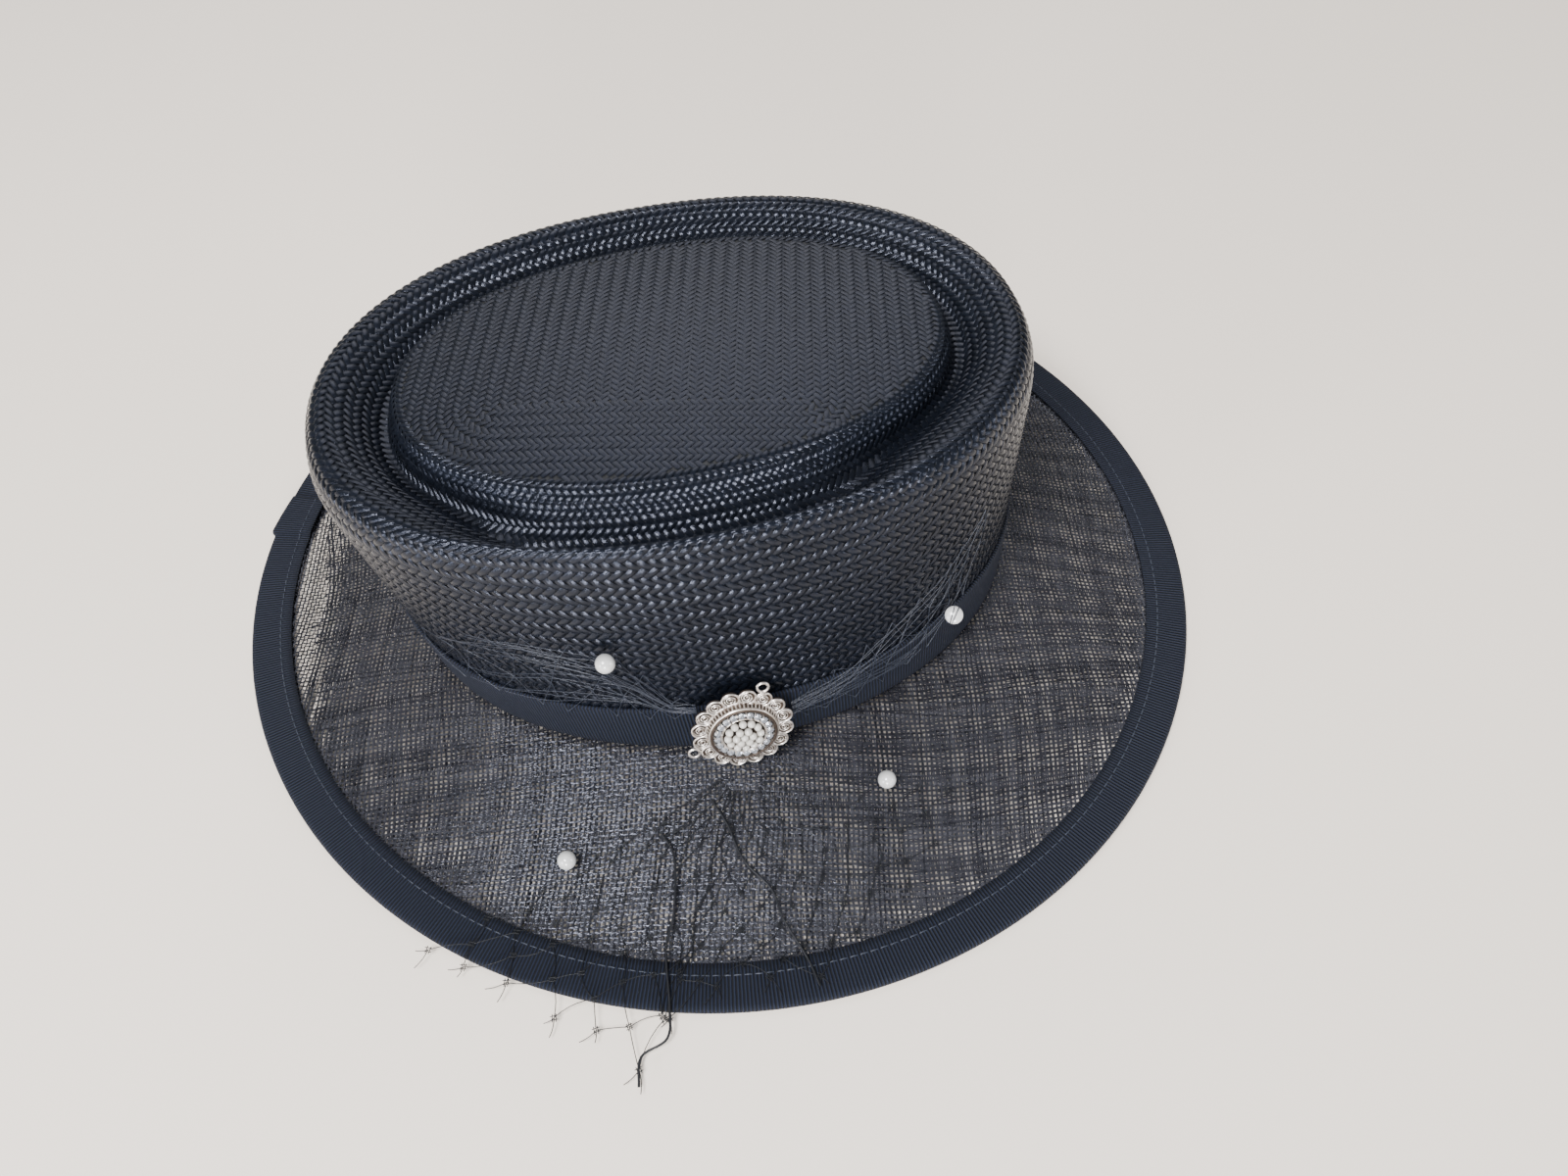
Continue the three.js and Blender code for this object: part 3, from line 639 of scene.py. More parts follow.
def thread_layer(name, turn, step, width, drop, lift, parity, tones, drift, left_end=NO_LEFT_END):
    """One family of parallel flat threads, waved over and under where lift is given."""
    lines = np.arange(-BRIM_REACH, BRIM_REACH, THREAD_SPACING)
    marks = np.arange(-BRIM_REACH, BRIM_REACH, step)
    across, along = np.meshgrid(lines, marks, indexing="ij")
    i, j = np.meshgrid(np.arange(len(lines)), np.arange(len(marks)), indexing="ij")
    each = (len(lines), 1)
    wander = random.normal(0, 0.05, each) + 0.06 * np.sin(along / 23 + 5 * random.random(each))
    wide = width * (random.uniform(0.82, 1.12, each) + 0.1 * np.sin(along / 9 + i * 1.7))
    sides = []
    for side in (-0.5, 0.5):
        u = across + wander + side * wide
        x = along * math.cos(turn) - u * math.sin(turn)
        y = along * math.sin(turn) + u * math.cos(turn)
        x, y = (x + drift * (np.sin(y / 17 + 1) + 0.7 * np.sin((x + y) / 31)),
                y + drift * (np.sin(x / 19 + 2) + 0.7 * np.sin((x - y) / 37)))
        inward, span, height = brim_place(x, y)
        wave = lift * np.where((i + j + parity) % 2 == 0, 1, -1)
        sides.append(np.stack([x, y, height - drop + wave], -1))
    ragged = left_end + random.normal(0, 2.5, each) + 0.08 * y
    held = (inward > UNDER_BINDING) & (inward < span - UNDER_CROWN) & (x > ragged)
    joined = held[:, 1:] & held[:, :-1]
    row, mark = np.nonzero(joined)
    number = np.full((*held.shape, 2), -1)
    used = np.zeros(held.shape, bool)
    used[row, mark] = used[row, mark + 1] = True
    number[used] = np.arange(2 * used.sum()).reshape(-1, 2)
    points = np.stack(sides, 2)[used].reshape(-1, 3)
    faces = np.stack([number[row, mark, 0], number[row, mark + 1, 0],
                      number[row, mark + 1, 1], number[row, mark, 1]], -1)
    uv = np.stack([np.stack([along, across * 3 + side], -1) for side in (0, 1)], 2)[used].reshape(-1, 2)
    shade = np.repeat((random.uniform(*tones, each) + 0 * along)[used], 2)
    piece = mesh_piece(name, points, faces, cloth_material, uv=uv, shade=shade)
    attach(piece, "root")
    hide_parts("brim")


UPPER_TURN = math.radians(-12)
UPPER_DROP = 0.25
UPPER_DRIFT = 1.2
UPPER_TONES = (0, 0.22)
LOWER_TURN = math.radians(-3.5)
LOWER_DROPS = (0.8, 0.9)
LOWER_STEP = 6
LOWER_DRIFT = 2.1
# Painted light: the lower threads' tones reach lighter greys than the upper's, for light shining through
# them.
LOWER_TONES_WITH_PAINTED_LIGHT = (0, 0.75)
LOWER_LEFT_END = -149
for parity, way in enumerate(("across", "along")):
    thread_layer(f"upper_threads_{way}", UPPER_TURN + parity * math.pi / 2, THREAD_SPACING, THREAD_WIDTH,
                 UPPER_DROP, WEAVE_LIFT, parity, UPPER_TONES, UPPER_DRIFT)
for parity, way in enumerate(("across", "along")):
    thread_layer(f"lower_threads_{way}", LOWER_TURN + parity * math.pi / 2, LOWER_STEP, LOWER_WIDTH,
                 LOWER_DROPS[parity], 0, 0, LOWER_TONES_WITH_PAINTED_LIGHT, LOWER_DRIFT, LOWER_LEFT_END)


# Binding: one ribbed ribbon folded over the brim's edge and sewn through. Its ends
# lap at the left, where a cut end lies on top.
BINDING_WIDTH = 14.5
BINDING_TOP = 3.0
BINDING_COLUMNS = 900
OUTER_FOLD = 1.7
TOP_FACE = 2.5
LAP_FIRST = math.radians(157.5)
LAP_LAST = math.radians(164)
LAP_THICK = 0.8
LAP_OUT = 1.6
BINDING_SECTION = (
    # distance in from the edge, height: round the outside, then back inside the fold
    (14.5, 2.55), (14.4, 2.95), (12, 3.05), (8, 3.0), (4, 3.0), (1.6, 3.0), (0.6, 2.8), (0.1, 2.2),
    (0, 1.5), (0.1, 0.8), (0.6, 0.2), (1.6, 0), (5, 0), (10, 0), (14.2, 0), (14.5, 0.1), (14.5, 0.5),
    (10, 0.6), (2, 0.6), (1, 0.9), (0.8, 1.5), (1, 2.1), (2, 2.4), (8, 2.45),
)


def swept_loop(name, section, place, columns, material):
    """A closed section carried round a closed path. place gives points for one share."""
    angles = np.linspace(0, 2 * np.pi, columns + 1)[:-1]
    loops = np.array([place(angles, a, b) for a, b in section])
    rim = loops[len(section) // 3]
    run = np.concatenate([[0], np.cumsum(np.linalg.norm(np.diff(rim, axis=0), axis=1))])
    girth = np.concatenate([[0], np.cumsum(np.linalg.norm(np.diff(np.array(section), axis=0), axis=1))])
    rows = np.concatenate([loops, loops[:1]])
    closed = np.concatenate([rows, rows[:, :1]], 1)
    u = np.concatenate([run, [run[-1] + run[1]]])
    v = np.concatenate([girth, [girth[-1] + 1]])
    faces = sheet_faces(len(rows), columns + 1, False)
    uv = np.stack(np.meshgrid(v, u, indexing="ij")[::-1], -1)
    piece = mesh_piece(name, closed, faces[:, ::-1], material, uv=uv)
    bpy.context.view_layer.objects.active = piece
    bpy.ops.object.mode_set(mode="EDIT")
    bpy.ops.mesh.select_all(action="SELECT")
    bpy.ops.mesh.remove_doubles(threshold=0.000001)
    bpy.ops.mesh.normals_make_consistent(inside=False)
    bpy.ops.mesh.select_all(action="DESELECT")
    bpy.ops.object.mode_set(mode="OBJECT")
    return piece


# Ribbed ribbon: navy-black with a fine matt rib across it every millimetre and the
# faint sheen of its yarn. Its colour is painted shade in the hollows between the ribs.
RIB_PITCH = 1.15
ribbon_material, tree = new_material("ribbed_ribbon")
uv_node = add_node(tree, "ShaderNodeUVMap", {"uv_map": "strand"})
ribs = add_node(tree, "ShaderNodeTexWave", {
    "bands_direction": "X", "wave_profile": "SIN",
    "Scale": 2 * math.pi / 20 / RIB_PITCH, "Distortion": 0.4, "Detail": 1.0,
}, {"Vector": uv_node.outputs[0]})
yarn = add_noise(tree, uv_node.outputs[0], {"Scale": 3.0, "Detail": 3.0})
# Painted shade: near black in the hollows between the ribs, navy on their crests.
ribbon_rib_shade_colour = add_node(tree, "ShaderNodeMix", {
    "data_type": "RGBA", 6: srgb("#010204"), 7: srgb("#121a2c"),
}, {0: ribs.outputs["Fac"]})
rib_bump = add_bump(tree, ribs.outputs["Fac"], 1.0, 0.6 * MM)
yarn_bump = add_bump(tree, yarn, 0.3, 0.08 * MM, rib_bump)
add_surface(tree, {"Roughness": 0.8, "Specular IOR Level": 0.3},
            {"Base Color": ribbon_rib_shade_colour.outputs[2], "Normal": yarn_bump})


def place_binding(angles, inward, height):
    """A point of the binding's section at each angle, raised and spread where the ends lap."""
    lapped = (angles > LAP_FIRST) & (angles < LAP_LAST)
    swell = (angles - LAP_FIRST) / (LAP_LAST - LAP_FIRST)
    out = np.where(lapped, LAP_OUT * swell, 0)
    plan = edge_points(angles, inward - (out if inward < OUTER_FOLD else 0))
    lift = np.where(lapped & (height > TOP_FACE), LAP_THICK, 0)
    return np.column_stack([plan, height + lift])


binding = swept_loop("edge_ribbon", BINDING_SECTION, place_binding, BINDING_COLUMNS, ribbon_material)
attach(binding, "root")
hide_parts("brim_binding")


def tube(points, radii, sides, start=0):
    """Rings and faces of a round strand through points, numbered from start."""
    points = np.asarray(points, float)
    count = len(points)
    radii = np.broadcast_to(radii, count)
    heading = np.gradient(points, axis=0)
    heading /= np.linalg.norm(heading, axis=1, keepdims=True)
    side = np.cross(heading, (0.13, 0.21, 0.97))
    side /= np.linalg.norm(side, axis=1, keepdims=True)
    lift = np.cross(side, heading)
    turn = np.arange(sides) * 2 * np.pi / sides
    rings = points[:, None] + radii[:, None, None] * (
        side[:, None] * np.cos(turn)[None, :, None] + lift[:, None] * np.sin(turn)[None, :, None])
    faces = start + sheet_faces(count, sides, True)
    return rings.reshape(-1, 3), faces


def strands_piece(name, strands, sides, material, slot, *nodes):
    """Many strands, each a list of points and radii, as one piece."""
    all_points, all_faces, total = [], [], 0
    for points, radii in strands:
        rings, faces = tube(points, radii, sides, total)
        total += len(rings)
        all_points.append(rings)
        all_faces.append(faces)
    piece = mesh_piece(name, np.vstack(all_points), np.vstack(all_faces), material)
    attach(piece, "root")
    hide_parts(*nodes)
    return piece


# The line of machine stitches that holds the binding's two layers to the brim.
STITCH_INWARD = 10.6
STITCH_PITCH = 3.2
STITCH_LENGTH = 2.5
STITCH_RADIUS = 0.2
STITCH_LINE_RADIUS = 164
STITCH_RISES = np.array((-0.15, 0.12, 0.18, 0.12, -0.15))
stitch_material, tree = new_material("sewing_thread")
add_surface(tree, {"Base Color": srgb("#1c2330"), "Roughness": 0.5, "Sheen Weight": 0.1})
stitch_count = int(2 * math.pi * STITCH_LINE_RADIUS / STITCH_PITCH)
stitches = []
for i in range(stitch_count):
    middle = 2 * math.pi * i / stitch_count
    half = STITCH_LENGTH / 2 / STITCH_LINE_RADIUS
    angles = np.linspace(middle - half, middle + half, 5)
    lift = np.where((angles > LAP_FIRST) & (angles < LAP_LAST), LAP_THICK, 0)
    heights = BINDING_TOP + lift + STITCH_RISES
    stitches.append((np.column_stack([edge_points(angles, STITCH_INWARD), heights]), STITCH_RADIUS))
strands_piece("edge_stitches", stitches, 5, stitch_material, "ribbon", "brim_binding")


# Band: a wider ribbed ribbon of the same make, drawn round the crown's foot and
# tacked at the brooch.
BAND_SECTION = (
    # distance out from the wall, height
    (0.5, 36.9), (1.2, 36.8), (1.5, 36.3), (1.6, 30), (1.55, 24), (1.6, 18), (1.5, 14.3), (1.2, 13.9),
    (0.5, 13.8), (0.3, 14.2), (0.3, 20), (0.3, 30), (0.3, 36.5),
)


def place_band(angles, out, height):
    """A point of the band's section at each angle."""
    return wall_points(angles, height, out)


BAND_COLUMNS = 720
band = swept_loop("crown_ribbon", BAND_SECTION, place_band, BAND_COLUMNS, ribbon_material)
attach(band, "root")
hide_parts("hat_band")


# Brooch: a soldered filigree rosette of sixteen wire petals round a raised bezel,
# with twenty cut stones and a heap of small round beads in the middle.
BROOCH_CENTRE = np.array((-5.5, -96.1, 32.4))
BROOCH_TILT = math.radians(90 - 12.5)
PETALS = 16
PETAL_RING = 13.5
PETAL_RADIUS = 2.95
BEZEL_OUTER = 10.7
BEZEL_INNER = 9.8
BEZEL_HEIGHT = 3.9
WELL_FLOOR = 2.3
SKIRT_OUTER = 11.6


def on_brooch(points):
    """Points in the brooch's own plane, x right, y up and z out, set in the hat."""
    x, y, z = np.asarray(points, float).T
    cosine, sine = math.cos(BROOCH_TILT), math.sin(BROOCH_TILT)
    return np.stack([x, y * cosine - z * sine, y * sine + z * cosine], -1) + BROOCH_CENTRE


# Old silver plate: warm grey, bright on the raised wires and dull brown in the
# hollows between them.
silver_material, tree = new_material("old_silver_filigree")
coordinates = add_node(tree, "ShaderNodeTexCoord")
tarnish = add_noise(tree, coordinates.outputs["Object"], {"Scale": 900.0, "Detail": 3.0})
silver_colour = add_ramp(tree, tarnish, (0.3, "#b5aa9f"), (0.6, "#e0d9d1"))
silver_bump = add_bump(tree, tarnish, 0.3, 0.08 * MM)
add_surface(tree, {"Metallic": 0.9, "Roughness": 0.28},
            {"Base Color": silver_colour, "Normal": silver_bump})


# The same plate down between the wires, gone dull and brown.
dull_material, tree = new_material("tarnished_silver")
add_surface(tree, {"Base Color": srgb("#453b33"), "Metallic": 0.8, "Roughness": 0.5})


def ring(centre, radius, wire, steps, height):
    """A wire ring lying in the brooch's plane."""
    turn = np.linspace(0, 2 * np.pi, steps + 1)
    line = np.column_stack([centre[0] + radius * np.cos(turn), centre[1] + radius * np.sin(turn),
                            np.full(steps + 1, height)])
    return on_brooch(line), wire


def spiral(centre, outer, inner, turns, wire, height, phase):
    """A wire coiled in towards a point in the brooch's plane."""
    share = np.linspace(0, 1, int(14 * turns))
    radius = outer + (inner - outer) * share
    turn = phase + 2 * np.pi * turns * share
    line = np.column_stack([centre[0] + radius * np.cos(turn), centre[1] + radius * np.sin(turn),
                            np.full(len(share), height)])
    return on_brooch(line), wire


def about(turn, reach):
    """The point at a turn and a distance from the brooch's middle."""
    return reach * math.cos(turn), reach * math.sin(turn)


def bent_wire(turn, line, wire):
    """A wire that runs outward and up through pairs of reach and height."""
    return on_brooch([(*about(turn, reach), height) for reach, height in line]), wire


PETAL_TURNS = [2 * math.pi * (i + 0.5) / PETALS for i in range(PETALS)]
PETAL_WIRE_HEIGHT = 1.15
PETAL_RIM_WIRE = 0.34
PETAL_COIL_WIRE = 0.22
PETAL_COIL_TURNS = 2.3
STONES = 20
RAYS = 56
RAY_LINE = ((BEZEL_OUTER, 3.0), (11.2, 2.1), (SKIRT_OUTER, 1.0))
RAY_WIRE = 0.24
OUTER_CLAW = ((9.5, 3.1), (9.45, 4.2), (9.0, 4.6))
OUTER_CLAW_WIRE = 0.28
INNER_CLAW = ((7.2, 3.1), (7.25, 4.2), (7.6, 4.6))
INNER_CLAW_WIRE = 0.26
LOOP_TURNS = (math.radians(64), math.radians(204))
LOOP_REACH = PETAL_RING + PETAL_RADIUS + 1.3
LOOP_RADIUS = 1.8
LOOP_WIRE = 0.48
LOOP_HEIGHT = 0.65
wires = []
for turn in PETAL_TURNS:
    middle = about(turn, PETAL_RING)
    wires.append(ring(middle, PETAL_RADIUS - 0.3, PETAL_RIM_WIRE, 20, PETAL_WIRE_HEIGHT))
    wires.append(spiral(middle, PETAL_RADIUS - 0.85, 0.3, PETAL_COIL_TURNS, PETAL_COIL_WIRE,
                        PETAL_WIRE_HEIGHT, turn))
wires.append(ring((0, 0), BEZEL_OUTER + 0.05, 0.42, 72, BEZEL_HEIGHT - 0.7))
wires.append(ring((0, 0), SKIRT_OUTER, 0.36, 72, 1.0))
wires.append(ring((0, 0), 7.0, 0.3, RAYS, WELL_FLOOR + 1.5))
for i in range(RAYS):
    wires.append(bent_wire(2 * math.pi * i / RAYS, RAY_LINE, RAY_WIRE))
for i in range(STONES):
    turn = 2 * math.pi * (i + 0.5) / STONES
    wires.append(bent_wire(turn, OUTER_CLAW, OUTER_CLAW_WIRE))
    wires.append(bent_wire(turn, INNER_CLAW, INNER_CLAW_WIRE))
for turn in LOOP_TURNS:
    wires.append(ring(about(turn, LOOP_REACH), LOOP_RADIUS, LOOP_WIRE, 20, LOOP_HEIGHT))
strands_piece("brooch_wires", wires, 6, silver_material, "silver", "brooch_setting")


def turned_on_brooch(profile, middle, steps):
    """A profile of radius and height, turned about a point of the brooch."""
    turn = np.arange(steps) * 2 * np.pi / steps
    rows = [np.column_stack([middle[0] + r * np.cos(turn), middle[1] + r * np.sin(turn), np.full(steps, h)])
            for r, h in profile]
    points = on_brooch(np.vstack(rows))
    return points, sheet_faces(len(profile), steps, True)


SETTING_PROFILE = (
    (0.02, 0.2), (9.6, 0.2), (PETAL_RING - 1.2, 0), (PETAL_RING - 1.0, 0.3), (PETAL_RING - 1.3, 0.75),
    (SKIRT_OUTER - 0.1, 0.8), (11.1, 2.0), (BEZEL_OUTER - 0.1, 2.9), (BEZEL_OUTER, BEZEL_HEIGHT - 0.25),
    (BEZEL_OUTER - 0.25, BEZEL_HEIGHT), (BEZEL_INNER + 0.15, BEZEL_HEIGHT), (BEZEL_INNER, BEZEL_HEIGHT - 0.2),
    (BEZEL_INNER, WELL_FLOOR + 0.3), (7.2, WELL_FLOOR + 0.6), (6.8, WELL_FLOOR + 0.3),
    (0.02, WELL_FLOOR + 0.6),
)
PETAL_PROFILE = (
    (0.02, 0), (2.4, 0), (2.85, 0.3), (2.85, 0.8), (2.6, 1.05), (2.2, 0.85),
    (0.9, 0.8), (0.62, 0.9), (0.55, 1.15), (0.35, 1.35), (0.02, 1.42),
)
plates = [turned_on_brooch(SETTING_PROFILE, (0, 0), 96)]
plates += [turned_on_brooch(PETAL_PROFILE, about(turn, PETAL_RING), 20) for turn in PETAL_TURNS]
points, faces, total = [], [], 0
for plate_points, plate_faces in plates:
    points.append(plate_points)
    faces.append(plate_faces + total)
    total += len(plate_points)
brooch_plate = mesh_piece("brooch_plate", np.vstack(points), np.vstack(faces), dull_material)
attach(brooch_plate, "root")
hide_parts("brooch_setting")


# Stones: glass cut with a flat table and eight facets, foiled behind so that they
# flash white, and small round beads heaped in the middle.
stone_material, tree = new_material("foiled_cut_glass")
add_surface(tree, {"Base Color": srgb("#d3d6db"), "Metallic": 0.8, "Roughness": 0.1})
bead_material, tree = new_material("clear_bead")
add_surface(tree, {
    "Base Color": srgb("#b4b0a7"), "Roughness": 0.1, "Coat Weight": 1.0, "Subsurface Weight": 0.2,
    "Subsurface Radius": (0.001, 0.001, 0.001),
})
STONE_PROFILE = ((0.02, 0), (1.0, 0), (1.28, 0.7), (0.7, 1.35), (0.02, 1.35))
STONE_RING = 8.35
STONE_SEAT = 0.8
STONE_SIDES = 8
for i in range(STONES):
    profile = [(r, h + WELL_FLOOR + STONE_SEAT) for r, h in STONE_PROFILE]
    points, faces = turned_on_brooch(profile, about(2 * math.pi * i / STONES, STONE_RING), STONE_SIDES)
    stone = mesh_piece(f"cut_stone_{i + 1}", points, faces, stone_material, smooth=False)
    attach(stone, "root")
    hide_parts(f"ring_stone_{i + 1}")
BEAD_RADIUS = 1.28
BEAD_SEAT = 1.45
BEAD_RINGS = ((6, 2.62), (12, 5.2))
HEAP_RISE = 1.3
HEAP_REACH = 6
bead_bend = np.linspace(-np.pi / 2, np.pi / 2, 11)
bead_places = [(0, 0)]
for count, reach in BEAD_RINGS:
    bead_places += [about(2 * math.pi * k / count, reach) for k in range(count)]
for i, (x, y) in enumerate(bead_places):
    rise = HEAP_RISE * (1 - (math.hypot(x, y) / HEAP_REACH) ** 2) + random.uniform(0, 0.3)
    profile = [(max(0.02, BEAD_RADIUS * math.cos(bend)),
                BEAD_RADIUS * math.sin(bend) + WELL_FLOOR + BEAD_SEAT + rise) for bend in bead_bend]
    points, faces = turned_on_brooch(profile, (x, y), 16)
    bead = mesh_piece(f"clear_bead_{i + 1}", points, faces, bead_material)
    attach(bead, "root")
    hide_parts(f"centre_bead_{i + 1}")


# Veil: a coarse knotted net of thin stiff yarn with diamond holes. It is gathered
# behind the brooch, and from there it spreads over the near brim and along the band.
GATHER = np.array((-7.0, -99.0))
GATHER_REACH = 9
NET_RADIUS = 0.14
KNOT_SIZE = 2.3
NET_RIM = (
    (-112, -136), (-101, -142.5), (-88, -151.5), (-76, -163), (-64, -169.5), (-53, -184), (-43, -172),
    (-28, -165), (-13, -166), (3, -168), (19, -158), (34, -147), (47, -135), (58, -120),
)
FLOOR_LIFT = 1.4
SAG_REACH = 12
flat_net_material, tree = new_material("stiff_black_yarn")
add_surface(tree, {"Base Color": srgb("#0b0d11"), "Roughness": 0.5, "Specular IOR Level": 0.3})

# The same yarn where it is gathered and pulled tight: a little glossier, with its colour painted lighter as
# sheen.
net_painted_sheen_material, tree = new_material("stiff_black_yarn_painted_sheen")
add_surface(tree, {"Base Color": srgb("#272b34"), "Roughness": 0.35})


def lying(plan, lift):
    """Points on the brim or its binding at a lift, or low over the floor beyond."""
    plan = np.asarray(plan, float)
    inward, span, height = brim_place(plan[:, 0], plan[:, 1])
    top = np.where(inward < BINDING_WIDTH, BINDING_TOP, height)
    beyond = np.clip(-inward / SAG_REACH, 0, 1)
    return np.column_stack([plan, (top + lift) * (1 - beyond) + (FLOOR_LIFT + lift) * beyond])


def net_side(start, end, bow, lift):
    """One side of a net hole, thin and a little bowed between its knots."""
    share = np.linspace(0, 1, 6)[:, None]
    across = np.array((-(end - start)[1], (end - start)[0]))
    line = start + (end - start) * share + across * bow * (share * (1 - share)) * 4
    return lying(line, lift), NET_RADIUS


def net_knot(spot, heading, lift, size):
    """The knot where four sides meet: two pairs of short bars, one pair over the other."""
    bars = []
    for turn, rise in ((0.75, 0), (-0.75, 0.2)):
        along = np.array((math.cos(heading + turn), math.sin(heading + turn)))
        across = np.array((-along[1], along[0]))
        for side in (-0.24, 0.24):
            ends = [spot + size * (along * reach + across * side) for reach in (-0.5, 0, 0.5)]
            bars.append((lying(ends, lift + rise), NET_RADIUS))
    return bars


FAN_COLUMNS = 13
FAN_ROWS = 10
TAIL_LENGTH = 5
TAIL_LEANS = (-0.5, 0.45)
rim_share = np.linspace(0, 1, len(NET_RIM))


def fan_node(column, row):
    """A knot of the fan, in plan."""
    share = column / FAN_COLUMNS
    rim = np.array([np.interp(share, rim_share, [p[k] for p in NET_RIM]) for k in (0, 1)])
    way = rim - GATHER
    near = GATHER_REACH / np.linalg.norm(way)
    spot = GATHER + way * (near + (1 - near) * (row / FAN_ROWS) ** 0.9)
    return spot + fan_shift[int(2 * column) % 64, row] * (row / FAN_ROWS)


fan_shift = random.normal(0, 0.9, (64, FAN_ROWS + 1, 2))
fan_strands = []
for row in range(FAN_ROWS + 1):
    for step in range(FAN_COLUMNS + 1):
        column = step + 0.5 * (row % 2)
        if column > FAN_COLUMNS:
            continue
        start = fan_node(column, row)
        lift = 0.4 + 0.4 * random.random()
        way = start - GATHER
        size = KNOT_SIZE * (0.45 + 0.55 * row / FAN_ROWS)
        heading = math.atan2(way[1], way[0])
        fan_strands += net_knot(start, heading, lift, size)
        if row == FAN_ROWS:
            for lean in TAIL_LEANS:
                reach = TAIL_LENGTH * (1 + 0.35 * math.sin(2.3 * step + 5 * lean))
                tail = start + reach * np.array((math.cos(heading + lean), math.sin(heading + lean)))
                fan_strands.append(net_side(start, tail, 0.06, lift))
        for side in (-0.5, 0.5):
            if row < FAN_ROWS and 0 <= column + side <= FAN_COLUMNS:
                end = fan_node(column + side, row + 1)
                fan_strands.append(net_side(start, end, random.normal(0, 0.07), lift))
strands_piece("veil_over_brim", fan_strands, 4, flat_net_material, "net", "veil_fan")

# Two thick edge yarns of the net. One runs past the brim with its cut end free.
yarn_material, tree = new_material("thick_black_yarn")
add_surface(tree, {"Base Color": srgb("#07090e"), "Roughness": 0.5, "Specular IOR Level": 0.35})
EDGE_YARNS = (
    ((-36.7, -115.1, 10.2), (-33.8, -124.2, 8.9), (-36.4, -140.4, 6.5), (-40.6, -151.4, 4.9),
     (-42, -167.7, 4), (-44, -176.8, 3.5), (-52.2, -180.1, 2.5), (-54, -187.9, 1.5)),
    ((-19, -108.6, 11.9), (-15.4, -117.7, 10.4), (-12.6, -129.4, 8.6), (-5.8, -140.2, 7), (-4.2, -149.3, 5.8),
     (0.6, -162.6, 4.3), (2.5, -171.5, 4)),
)
YARN_RADIUS = 0.4
yarns = [(smooth_rows(line, 1.2), YARN_RADIUS) for line in EDGE_YARNS]
strands_piece("veil_edge_yarns", yarns, 6, yarn_material, "net", "veil_fan")


def wall_spot(angle_degrees, height):
    """A point of the wings on the wall, standing off the band below it."""
    out = np.maximum(0.9, 2.4 - 0.15 * np.maximum(0, np.asarray(height) - 39.5))
    return wall_points(np.radians(angle_degrees), height, out)


# Each wing's stations: polar angle in degrees, then its lower and upper height.
LEFT_WING = (
    (259, 33, 42), (254, 33, 46), (248, 34, 64), (242, 35, 74), (235, 36, 75), (228, 36, 76),
    (220, 35, 71), (211, 34, 61), (202, 33, 48),
)
RIGHT_WING = (
    (279, 22, 34), (283, 22, 38), (291, 22, 43), (299, 23, 48), (307, 25, 53), (315.6, 31, 59),
    (321, 40, 67), (328, 55, 77),
)
WING_SIDE_RADII = (0.19, 0.11, 0.09, 0.09, 0.11, 0.19)
LOOSE_RADIUS = 0.1


def wing(name, stations, columns, rows, loose, node):
    """A gathered end of the net: its holes drawn long, with loose yarns among them."""
    marks = np.linspace(0, 1, len(stations))
    table = np.array(stations, float)

    def spot(along, up):
        angle, lower, upper = (np.interp(along, marks, table[:, k]) for k in range(3))
        return wall_spot(angle, lower + (upper - lower) * up)

    shift = random.normal(0, 0.02, (2 * columns + 2, rows + 1, 2))
    strands = []
    for row in range(rows):
        for step in range(columns + 1):
            column = step + 0.5 * (row % 2)
            for side in (-0.5, 0.5):
                if 0 <= column <= columns and 0 <= column + side <= columns:
                    first = np.array((column / columns, row / rows)) + shift[int(2 * column), row]
                    last = np.array(((column + side) / columns, (row + 1) / rows)) \
                        + shift[int(2 * (column + side)), row + 1]
                    share = np.linspace(0, 1, 6)
                    line = np.array([spot(*(first + (last - first) * t)) for t in share])
                    strands.append((line, WING_SIDE_RADII))
    for _ in range(loose):
        begin, finish = random.uniform(0.2, 0.8), random.uniform(0, 1)
        reach = random.uniform(0.55, 1)
        phase, swing = random.uniform(0, 6.3), random.uniform(0.02, 0.07)
        share = np.linspace(0, 1, 22)
        up = begin + (finish - begin) * share + swing * np.sin(share * 9 + phase)
        line = np.array([spot(t * reach, u) for t, u in zip(share, up)])
        strands.append((line, LOOSE_RADIUS))
    strands_piece(name, strands, 4, net_painted_sheen_material, "net", node)


wing("veil_along_left", LEFT_WING, 8, 3, 18, "veil_left_wing")
wing("veil_along_right", RIGHT_WING, 9, 3, 16, "veil_right_wing")

# The gather: net bunched to a pad behind the brooch, where it is sewn to the band.
GATHER_STRANDS = 46
GATHER_RADIUS = 0.2
gather_strands = []
for _ in range(GATHER_STRANDS):
    phase = random.uniform(0, 6.3, 3)
    share = np.linspace(0, 1, 14)
    x = -5.5 + random.uniform(-6, 6) + 3.4 * np.sin(share * 5 + phase[0])
    y = -91.5 - random.uniform(0, 6) - 1.3 * np.sin(share * 4 + phase[1])
    z = 19 + 17 * share + 1.2 * np.sin(share * 7 + phase[2])
    y = np.maximum(y, -91.4 - 0.22 * (36 - z))
    gather_strands.append((np.column_stack([x, y, z]), GATHER_RADIUS))
strands_piece("veil_bunch", gather_strands, 4, net_painted_sheen_material, "net", "veil_gather")


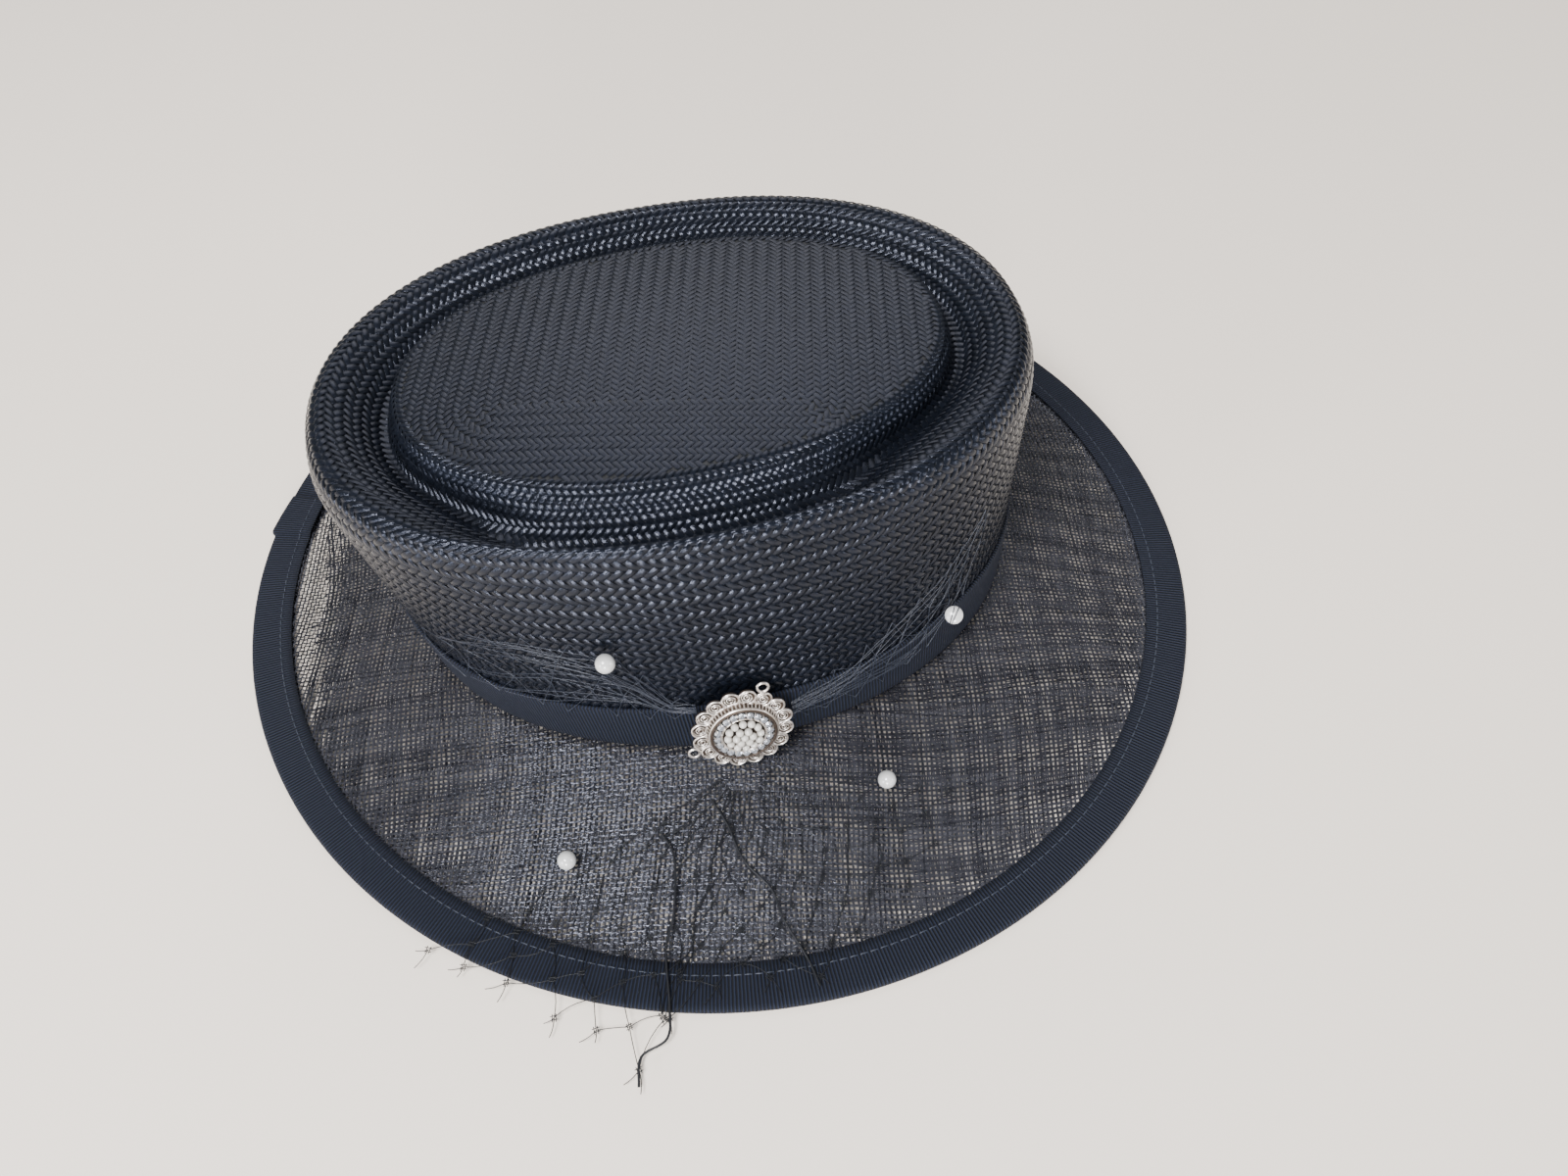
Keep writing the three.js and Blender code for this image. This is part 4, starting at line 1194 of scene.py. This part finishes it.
# Pearls: four six-millimetre pearls sewn on the net by a thread through each.
PEARL_RADIUS = 3
pearl_material, tree = new_material("imitation_pearl")
coordinates = add_node(tree, "ShaderNodeTexCoord")
cloud = add_noise(tree, coordinates.outputs["Object"], {"Scale": 350.0, "Detail": 2.0})
pearl_colour = add_node(tree, "ShaderNodeMix", {"data_type": "RGBA", 6: srgb("#a9a9a4"), 7: srgb("#cfcecb")},
                        {0: cloud})
add_surface(tree, {"Roughness": 0.25, "Coat Weight": 1.0, "Coat Roughness": 0.06},
            {"Base Color": pearl_colour.outputs[2]})
PEARL_OFF_NET = 4.1
TURNED_PEARL = 3
HALF_PEARL_DEPTH = 0.45
pearl_places = (
    wall_points(math.radians(245.6), 70, 0.7 + PEARL_OFF_NET),
    lying([(37.6, -114)], 0.3 + PEARL_OFF_NET)[0],
    lying([(-66.8, -118.3)], 0.3 + PEARL_OFF_NET)[0],
    wall_points(math.radians(315.6), 42, 1.83 + PEARL_OFF_NET),
)
for i, place in enumerate(pearl_places):
    bpy.ops.mesh.primitive_uv_sphere_add(segments=40, ring_count=24, radius=PEARL_RADIUS * MM)
    pearl = bpy.context.object
    pearl.name = f"pearl_{i + 1}"
    bpy.ops.object.shade_smooth()
    pearl.data.materials.append(pearl_material)
    spot = Vector((place + CENTRE_MM) * MM)
    if i == TURNED_PEARL:
        # A half pearl that has turned over, so that its flat back faces up.
        pearl.scale = (1, 1, HALF_PEARL_DEPTH)
        back_way = camera_place - spot
        pearl.rotation_euler = back_way.to_track_quat("Z", "Y").to_euler()
    pearl.location = spot
    bpy.ops.object.transform_apply(location=True, rotation=True, scale=True)
    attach(pearl, "root")
    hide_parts(f"veil_pearl_{i + 1}")

# The thread that holds the turned pearl, crossing its flat back twice.
turned_place = pearl_places[TURNED_PEARL]
back_way = np.array((camera_place - Vector((turned_place + CENTRE_MM) * MM)).normalized())
up_way = np.cross(back_way, (0.94, -0.34, 0))
side_way = np.cross(up_way, back_way)
THREAD_RADIUS = 0.17
THREAD_REACH = 2.9
reach = np.linspace(-1, 1, 9)[:, None]
threads = []
for side, lean in ((-0.55, 0.25), (0.55, 0.45)):
    line = (turned_place + up_way * reach * THREAD_REACH + side_way * (side + lean * reach * 2)
            + back_way * (1.5 - 1.3 * reach ** 4))
    threads.append((line, THREAD_RADIUS))
strands_piece("pearl_4_thread", threads, 5, net_painted_sheen_material, "net", "veil_pearl_4")
